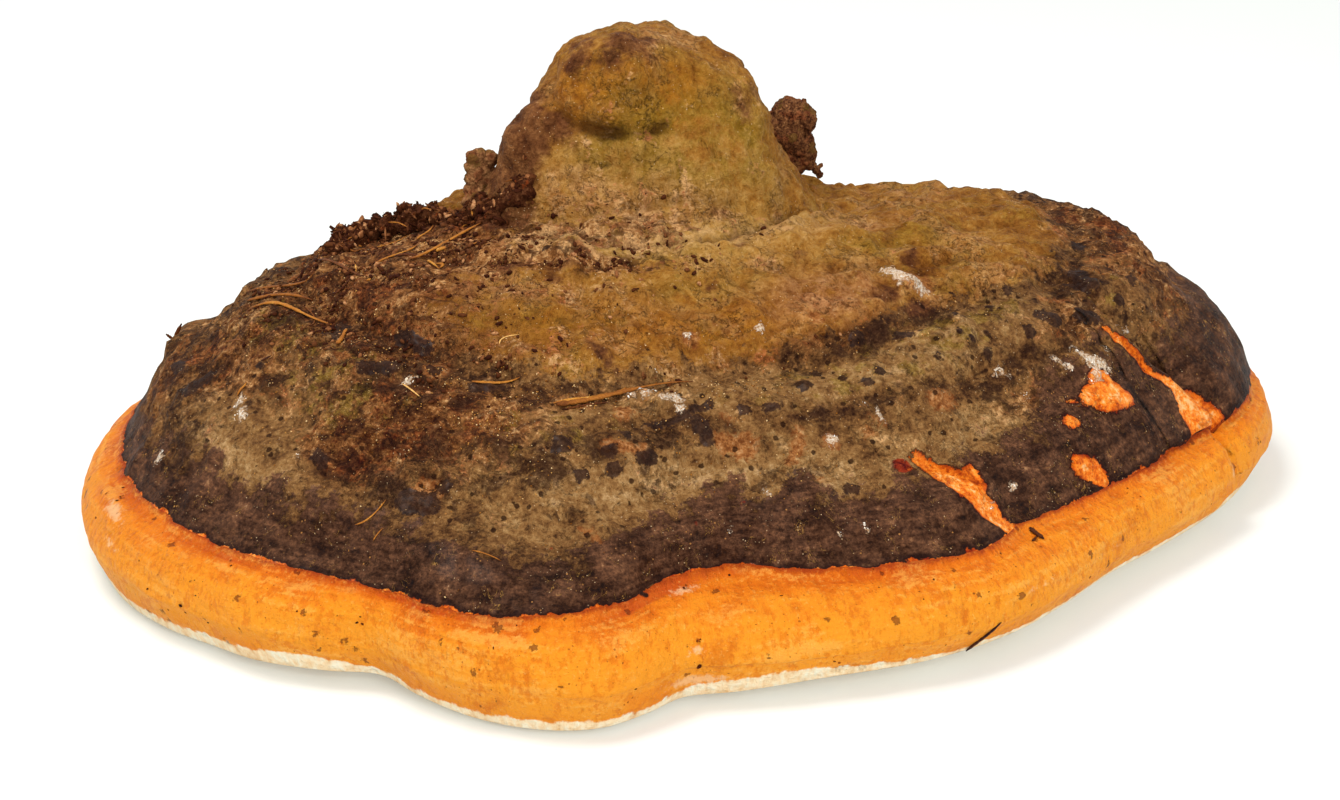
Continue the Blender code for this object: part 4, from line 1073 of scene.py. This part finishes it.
def scatter(count, density, draws):
    """Random places on the skin, more of them where it is denser, with the way that the skin faces."""
    chance = np.linalg.norm(net_spans, axis=1) * density[net[:, 0]]
    picked = draws.choice(len(net), count, p=chance / chance.sum())
    first, under, across, beside = np.moveaxis(corners[picked], 1, 0)
    down, over = draws.random((2, count, 1))
    facing = net_spans[picked] / np.linalg.norm(net_spans[picked], axis=1, keepdims=True)
    return first + (under - first) * down + (beside - first) * over, facing


PEBBLE_POINTS, PEBBLE_FACES = pebble(1)


def grains(name, places, facing, sizes, flatness, shades, draws):
    """A mesh of small angular grains that lie on the skin, each with a shade of its own."""
    count = len(places)
    aside = np.cross(facing, draws.normal(size=(count, 3)))
    aside /= np.linalg.norm(aside, axis=1, keepdims=True)
    ahead = np.cross(facing, aside)
    stretch = draws.uniform(0.6, 1.5, (count, 1, 1))
    shape = PEBBLE_POINTS * draws.uniform(0.7, 1.25, (count, len(PEBBLE_POINTS), 1))
    half = sizes[:, None, None] / 2
    points = places[:, None] + half * (
        shape[..., :1] * stretch * aside[:, None] + shape[..., 1:2] / stretch * ahead[:, None]
        + (shape[..., 2:] + 0.45) * flatness * facing[:, None]
    )
    numbered = PEBBLE_FACES + len(PEBBLE_POINTS) * np.arange(count)[:, None, None]
    mesh = new_mesh(name, points.reshape(-1, 3), numbered.reshape(-1, 3).tolist())
    shade = np.repeat(shades, len(PEBBLE_POINTS)).astype(np.float32)
    mesh.attributes.new("shade", "FLOAT", "POINT").data.foreach_set("value", shade)
    return mesh


def grain_finish(name, *stops):
    material, wire = new_material(name)
    fine = wire.noise(0.5, 3)
    surface(wire, (wire.fact("shade") + (fine - 0.5) * 0.5).ramp(*stops), 0.75, fine * 0.2)
    return material


draws = np.random.default_rng(40)
uncut = skin[:, 1] < TRUNK_SIDE - 1.5
top_only = (growths > -1) * (growths < 0.99) * uncut
clumps = np.clip(grain(skin, 5, 11, 3) * 3 + 0.5, 0.03, 2)
places, facing = scatter(SOIL_COUNT, np.clip(soft(SOIL_PATCHES), 0, 2.5) * top_only * clumps, draws)
sizes = 0.2 + 1.2 * draws.random(len(places)) ** 5
shades = draws.random(len(places)) ** 1.5
crumbs = grains("soil_grains", places, facing, sizes, 0.6, shades, draws)
crumb_finish = grain_finish(
    "grain_soil", (0.0, tint(54, 29, 18)), (0.4, tint(80, 45, 28)), (0.7, tint(106, 64, 39)),
    (0.9, tint(144, 92, 56)), (1.0, tint(190, 138, 94)),
)
stand_in_for("soil_grains", crumbs, crumb_finish, "litter")

heap_top = new_mesh("heap_top", heap_points, heap_faces, seat=(0, 0))
heap_outward = np.array([vertex.normal for vertex in heap_top.vertices])
upward = np.clip(heap_outward[:, 2], 0.02, 1)
picked = draws.choice(len(heap_points), FLAKE_COUNT, p=upward / upward.sum())
tilted = heap_outward[picked] + draws.normal(0, 0.5, (FLAKE_COUNT, 3))
tilted /= np.linalg.norm(tilted, axis=1, keepdims=True)
sizes = 0.4 + 1.9 * draws.random(FLAKE_COUNT) ** 4
shades = draws.random(FLAKE_COUNT) ** 1.6
flakes = grains("litter_flakes", heap_points[picked], tilted, sizes, 0.25, shades, draws)
stand_in_for("litter_flakes", flakes, crumb_finish, "litter")

sandy = np.clip(soft(SAND_PATCHES), 0, 1.5) * clumps + 0.006
places, facing = scatter(SAND_COUNT, sandy * top_only, draws)
sizes = 0.14 + 0.26 * draws.random(len(places)) ** 2
sand = grains("sand_grains", places, facing, sizes, 0.7, draws.random(len(places)), draws)
sand_finish = grain_finish(
    "grain_sand", (0.0, tint(104, 54, 20)), (0.4, tint(160, 104, 46)), (0.75, tint(204, 152, 84)),
    (1.0, tint(240, 206, 150)),
)
stand_in_for("sand_grains", sand, sand_finish, "litter")

# Flat flakes of dried resin: a few at each whitish spot of the crust
places, facing, sizes = [], [], []
for direction, growth, radius in (spot for stroke in WHITE for spot in stroke):
    middle, way, *_ = crown_tree.find_nearest(Vector(place_on_skin(direction, growth)))
    for _ in range(FLAKES_A_SPOT):
        places.append(np.array(middle) + draws.normal(0, 0.55 * radius, 3))
        tilt = np.array(way) + draws.normal(0, 0.35, 3)
        facing.append(tilt / np.linalg.norm(tilt))
        sizes.append(radius * (0.15 + 0.6 * draws.random() ** 2))
places = [crown_tree.find_nearest(Vector(place))[0] for place in places]
shades = draws.random(len(places))
flecks = grains(
    "resin_flakes", np.array(places), np.array(facing), np.array(sizes), 0.16, shades, draws
)
fleck_finish = grain_finish(
    "grain_fleck", (0.0, tint(176, 138, 102)), (0.3, tint(222, 196, 164)), (0.6, tint(246, 232, 212)),
    (1.0, tint(255, 252, 246)),
)
stand_in_for("resin_flakes", flecks, fleck_finish, "litter")

RIM_SPECKS = [
    (-146, 1.60, 1.6), (-127, 1.38, 1.3), (-162, 1.35, 1.2), (-162, 1.125, 1.0), (-95, 1.075, 1.1),
    (-94, 1.43, 0.9), (-94, 1.67, 1.2)
]
on_the_rim = (growths > 1.01) * (growths < 1.8) * (0.2 + (grain(skin, 14, 9, 2) > 0.1)) * uncut
places, facing = scatter(SPECK_COUNT, on_the_rim, draws)
sizes = 0.14 + 0.5 * draws.random(len(places)) ** 5
for direction, growth, size in RIM_SPECKS:
    spot, way, *_ = crown_tree.find_nearest(Vector(place_on_skin(direction, growth)))
    around_it = np.array(spot) + draws.normal(0, size / 3, (CRUMBS_A_SPECK, 3))
    places = np.concatenate([places, around_it])
    facing = np.concatenate([facing, np.tile(way, (CRUMBS_A_SPECK, 1))])
    sizes = np.append(sizes, size * draws.uniform(0.25, 0.8, CRUMBS_A_SPECK))
specks = grains("rim_specks", places, facing, sizes, 0.3, draws.random(len(places)), draws)
speck_finish = grain_finish(
    "grain_speck", (0.0, tint(40, 16, 6)), (0.5, tint(96, 44, 14)), (1.0, tint(168, 86, 30))
)
stand_in_for("rim_specks", specks, speck_finish, "litter")


# Dry conifer needles, grass straws and root threads, which fell on the crown and stuck there. Each
# lies on whatever is under it. A place without a height is on top, seen from above.
heap_tree = BVHTree.FromPolygons(heap_points.tolist(), heap_faces)
NEEDLES = [  # the largest ones: places along it, (part of the way, width) along it, and how golden it is
    (
        [(-27, -62), (-13.5, -58.7), (0, -56)],
        [(0, 0.9), (0.03, 1.3), (0.5, 1.2), (0.58, 1.0), (0.64, 0.5), (1, 0.3)], 0.62
    ),
    ([(-50, -13), (-43, -8.6), (-35, -5)], [(0, 0.5), (0.1, 0.8), (0.8, 0.7), (1, 0.3)], 0.75),
    ([(-57, -10), (-52, -7.5), (-48, -4)], [(0, 0.3), (0.2, 0.6), (0.8, 0.6), (1, 0.3)], 0.8),
    ([(-83, -3), (-77, -7), (-70, -13)], [(0, 0.6), (0.2, 1.1), (0.7, 1.0), (1, 0.4)], 0.6),
    (
        [(-82, -8), (-77, -12.5), (-73, -17.5), (-67, -25)], [(0, 0.5), (0.2, 1.0), (0.6, 0.9), (1, 0.4)],
        0.8
    ),
    ([(-42, -54), (-37, -54.2), (-33, -55)], [(0, 0.4), (0.2, 0.8), (0.8, 0.6), (1, 0.3)], 0.85),
]
THREADS = [  # the thin ones: places, width, and how golden
    ([(-83, 5), (-78, 1), (-72, -5), (-69, -7)], 0.8, 0.55), ([(-68, 2), (-64, -7), (-60, -15)], 0.7, 0.35),
    ([(-66, -16), (-62, -15)], 0.6, 0.2), ([(-66.5, -34.5), (-65, -32), (-64, -29)], 0.9, 0.7),
    ([(-81, -29), (-79, -29)], 0.5, 0.1), ([(-59, -17), (-58.4, -16)], 0.8, 0.9),
    ([(-61, -6), (-61, -11)], 0.4, 0.9), ([(-53, -10), (-49, -10.6), (-45, -11)], 0.8, 0.25),
    ([(-46, -13), (-46.6, -16), (-45, -18.6)], 0.9, 0.9),
    ([(-45, -14), (-43.8, -16), (-44.6, -18)], 0.7, 0.8), ([(-44.5, -10), (-42.6, -12)], 1.0, 0.85),
    ([(-27.4, -60.8), (-20, -59.6), (-13, -57.5)], 0.8, 0.9), ([(-26, -62.8), (-17, -61.6)], 0.6, 0.3),
    ([(-36, -47), (-35, -46), (-32, -46)], 0.3, 1.4), ([(-55, -51), (-52, -55)], 0.35, 1.5),
    ([(-86, -32), (-84, -31.4)], 0.6, 0.8), ([(-66, -74), (-63, -74), (-60, -72)], 0.35, 0.8),
    ([(-63, -78), (-61, -77)], 0.3, 0.7), ([(-46, -89), (-41, -92)], 0.3, 0.7),
    ([(-38, -13), (-33, -10)], 0.5, 0.7), ([(-57, 2), (-52, 5), (-49, 9)], 0.5, 0.8),
    ([(-62, 6), (-58, 3)], 0.5, 0.5), ([(-48, 0), (-44, 4)], 0.5, 0.8),
    ([(-72, -14), (-70, -20), (-71, -25)], 0.4, 0.4), ([(-76, -6), (-74, -1)], 0.4, 0.5),
    ([(-88, -12), (-84, -20)], 0.4, 0.5), ([(44, -98, 4), (47, -98, 7), (50, -98, 10)], 0.8, 0.1),
    ([(61, -79, 19), (63, -82, 18)], 1.1, 0.15), ([(60, -83, 17), (62, -81, 18)], 0.5, 0.2),
]
TWIGS = [  # the ones that stand free: places, width, and how golden
    ([(-36.5, 7, 62.2), (-33, 3.5, 63.4), (-28.5, 1.0, 64.2)], 1.0, 0.8),
    ([(-99, 12, 30), (-98.6, 11.6, 34), (-97, 11, 37.5)], 1.0, 0.3),
    ([(-98, 11.5, 33), (-100.4, 11, 35.4)], 0.7, 0.25),
    ([(-96, 11, 31), (-95.4, 11, 34), (-96, 10.6, 36)], 0.6, 0.2),
]
RING_SIDES, STEPS, FLATNESS = 8, 36, 0.55


def smooth_line(places, count):
    """Places at even steps on a smooth curve through a few."""
    places, knots, t = np.array(places, float), np.linspace(0, 1, len(places)), np.linspace(0, 1, count)
    slope = np.gradient(places, knots, axis=0)
    i = np.clip(np.searchsorted(knots, t, side="right") - 1, 0, len(places) - 2)
    span = knots[1]
    return hermite(
        ((t - knots[i]) / span)[:, None], places[i], places[i + 1], slope[i] * span, slope[i + 1] * span
    )


def touch(place):
    """Where the ground is under a place, or nearest to one that has a height, and which way it faces."""
    if len(place) == 2:
        hits = [tree.ray_cast(Vector((*place, ABOVE)), DOWN) for tree in (crown_tree, heap_tree)]
        return max((hit[:2] for hit in hits if hit[0]), key=lambda hit: hit[0].z)
    return crown_tree.find_nearest(Vector(place))[:2]


def stalk(places, widths, draws, free=False):
    """Points and faces of a stiff tapered stalk, flattened against what it lies on unless it stands free."""
    t = np.linspace(0, 1, STEPS)
    line = smooth_line(places, STEPS)
    width = np.interp(t, *np.array(widths, float).T) * (1 + 0.12 * draws.normal(size=STEPS))
    up, spine = np.array((0.2, -0.9, 0.4)), line
    if not free:
        below, facing = (np.array([list(hit[part]) for hit in map(touch, line)]) for part in (0, 1))
        up = facing.mean(axis=0) / np.linalg.norm(facing.mean(axis=0))
        stiff = np.stack([np.polyval(np.polyfit(t, below[:, axis], 3), t) for axis in range(3)], -1)
        proud = ((below - stiff) @ up).max()
        spine = stiff + up * (0.55 * proud + width.max() * FLATNESS * 0.35)
    along_it = np.gradient(spine, axis=0)
    along_it /= np.linalg.norm(along_it, axis=1, keepdims=True)
    level = np.cross(along_it, up)
    level /= np.linalg.norm(level, axis=1, keepdims=True)
    over = np.cross(level, along_it)
    turn = np.linspace(0, 2 * np.pi, RING_SIDES, endpoint=False)[None, :, None]
    ring = np.cos(turn) * level[:, None] + FLATNESS * np.sin(turn) * over[:, None]
    points = (spine[:, None] + ring * width[:, None, None] / 2).reshape(-1, 3)
    faces = [tuple(range(RING_SIDES)), tuple(range(len(points) - 1, len(points) - 1 - RING_SIDES, -1))]
    for step in range(STEPS - 1):
        for side in range(RING_SIDES):
            here, beside = step * RING_SIDES + side, step * RING_SIDES + (side + 1) % RING_SIDES
            faces.append((here, here + RING_SIDES, beside + RING_SIDES, beside))
    return points, faces


def stalks(name, list_of_stalks, draws):
    """One mesh of several stalks, with the shade of each and the place along it."""
    points, faces, shades, runs = np.zeros((0, 3)), [], [], []
    for places, widths, golden, *free in list_of_stalks:
        more, more_faces = stalk(places, widths, draws, *free)
        faces += [tuple(corner + len(points) for corner in face) for face in more_faces]
        points = np.concatenate([points, more])
        shades += [golden] * len(more)
        runs += list(np.repeat(np.linspace(0, 1, STEPS), RING_SIDES))
    mesh = new_mesh(name, points, faces)
    for fact, values in (("shade", shades), ("run", runs)):
        mesh.attributes.new(fact, "FLOAT", "POINT").data.foreach_set("value", values)
    return mesh


dry, wire = new_material("needle_dry")
fine, patchy = wire.noise(0.35, 3, 0.6), wire.noise(2.2, 3)
ends = (wire.fact("run") - 0.5).size() * 2
golden = wire.fact("shade") + (fine - 0.5) * 0.5 + (patchy - 0.5) * 0.5 - ends.fade(0.7, 1.0) * 0.25
colour = golden.ramp(
    (0.0, tint(46, 20, 8)), (0.3, tint(92, 48, 22)), (0.55, tint(136, 80, 34)), (0.8, tint(176, 110, 42)),
    (0.95, tint(200, 138, 58)), (1.0, tint(224, 172, 100)),
)
surface(wire, colour, 0.55, fine * 0.25, shine=0.15)
draws = np.random.default_rng(77)
for number, needle in enumerate(NEEDLES, 1):
    name = f"dry_needle_{number}"
    stand_in_for(name, stalks(name, [needle], draws), dry, "needle", f"needle_{number}")
THREAD_TAPER = np.array([(0, 0.4), (0.15, 1), (0.8, 0.85), (1, 0.3)])
threads = [(places, THREAD_TAPER * (1, width), golden) for places, width, golden in THREADS]
threads += [(places, THREAD_TAPER * (1, width), golden, True) for places, width, golden in TWIGS]
ROOT_HAIRS = 26  # in the litter
for x, y, z in heap_points[draws.choice(len(heap_points), ROOT_HAIRS)]:
    bend = draws.normal(0, (2.6, 2.6, 0.5), (2, 3))
    hair = [
        (x, y, z + 0.1), np.array((x, y, z + 0.5)) + bend[0] * 0.5,
        np.array((x, y, z + 0.3)) + bend[0] + bend[1] * 0.3
    ]
    threads.append((hair, THREAD_TAPER * (1, draws.uniform(0.25, 0.5)), draws.uniform(0.2, 0.9), True))
stand_in_for("straws", stalks("straws", threads, draws), dry, "needle")


# A plain white table under soft white light, and the camera at the photograph's angle.
REACH = 4.0  # metres from the middle of the table to its edges
PAPER_WHITE, PAPER_GLOW, SKY_LIGHT = (0.72, 0.745, 0.71, 1), 0.17, 0.80
sweep = bpy.data.meshes.new("floor")
sweep.from_pydata(
    [(-REACH, -REACH, 0), (REACH, -REACH, 0), (REACH, REACH, 0), (-REACH, REACH, 0)], [], [(0, 1, 2, 3)]
)
paper, wire = new_material("floor_paper")
wire.node("OutputMaterial", sockets={0: wire.node("BsdfPrincipled", sockets={
    "Base Color": PAPER_WHITE, "Roughness": 0.9, "Specular IOR Level": 0.1,
    "Emission Color": (1, 1, 1, 1), "Emission Strength": PAPER_GLOW})})
sweep.materials.append(paper)
floor = bpy.data.objects.new("floor", sweep)
bpy.context.scene.collection.objects.link(floor)

sky = bpy.data.worlds.new("studio")
sky.use_nodes = True
sky_light = sky.node_tree.nodes["Background"].inputs
sky_light["Color"].default_value, sky_light["Strength"].default_value = (1, 1, 1, 1), SKY_LIGHT
bpy.context.scene.world = sky
bpy.context.scene.view_settings.view_transform = "Standard"


def softbox(name, size, place, aim, watts):
    lamp = bpy.data.lights.new(name, "AREA")
    lamp.size, lamp.energy = size, watts
    holder = bpy.data.objects.new(name, lamp)
    holder.location = place
    holder.rotation_euler = (Vector(place) - Vector(aim)).to_track_quat("Z", "Y").to_euler()
    bpy.context.scene.collection.objects.link(holder)


softbox("overhead", 0.35, (-0.3, 0.0, 0.85), (0, 0, 0), 4.6)
softbox("front", 0.45, (0.14, -0.84, 0.45), (0, 0, 0.03), 4.1)

lens = bpy.data.cameras.new("camera")
lens.lens, lens.sensor_width = 70, 36
camera = bpy.data.objects.new("camera", lens)
AIM, AZIMUTH, ELEVATION = Vector((-0.009, 0.0098, 0.030)), np.radians(-9.6), np.radians(22)
VIEW_WIDTH = 0.271  # metres across the picture, where the camera aims
back = Vector((
    np.sin(AZIMUTH) * np.cos(ELEVATION), -np.cos(AZIMUTH) * np.cos(ELEVATION), np.sin(ELEVATION),
))
camera.location = AIM + back * VIEW_WIDTH * lens.lens / lens.sensor_width
camera.rotation_mode = "QUATERNION"
camera.rotation_quaternion = (-back).to_track_quat("-Z", "Y")
bpy.context.scene.collection.objects.link(camera)
bpy.context.scene.camera = camera

bpy.context.view_layer.update()
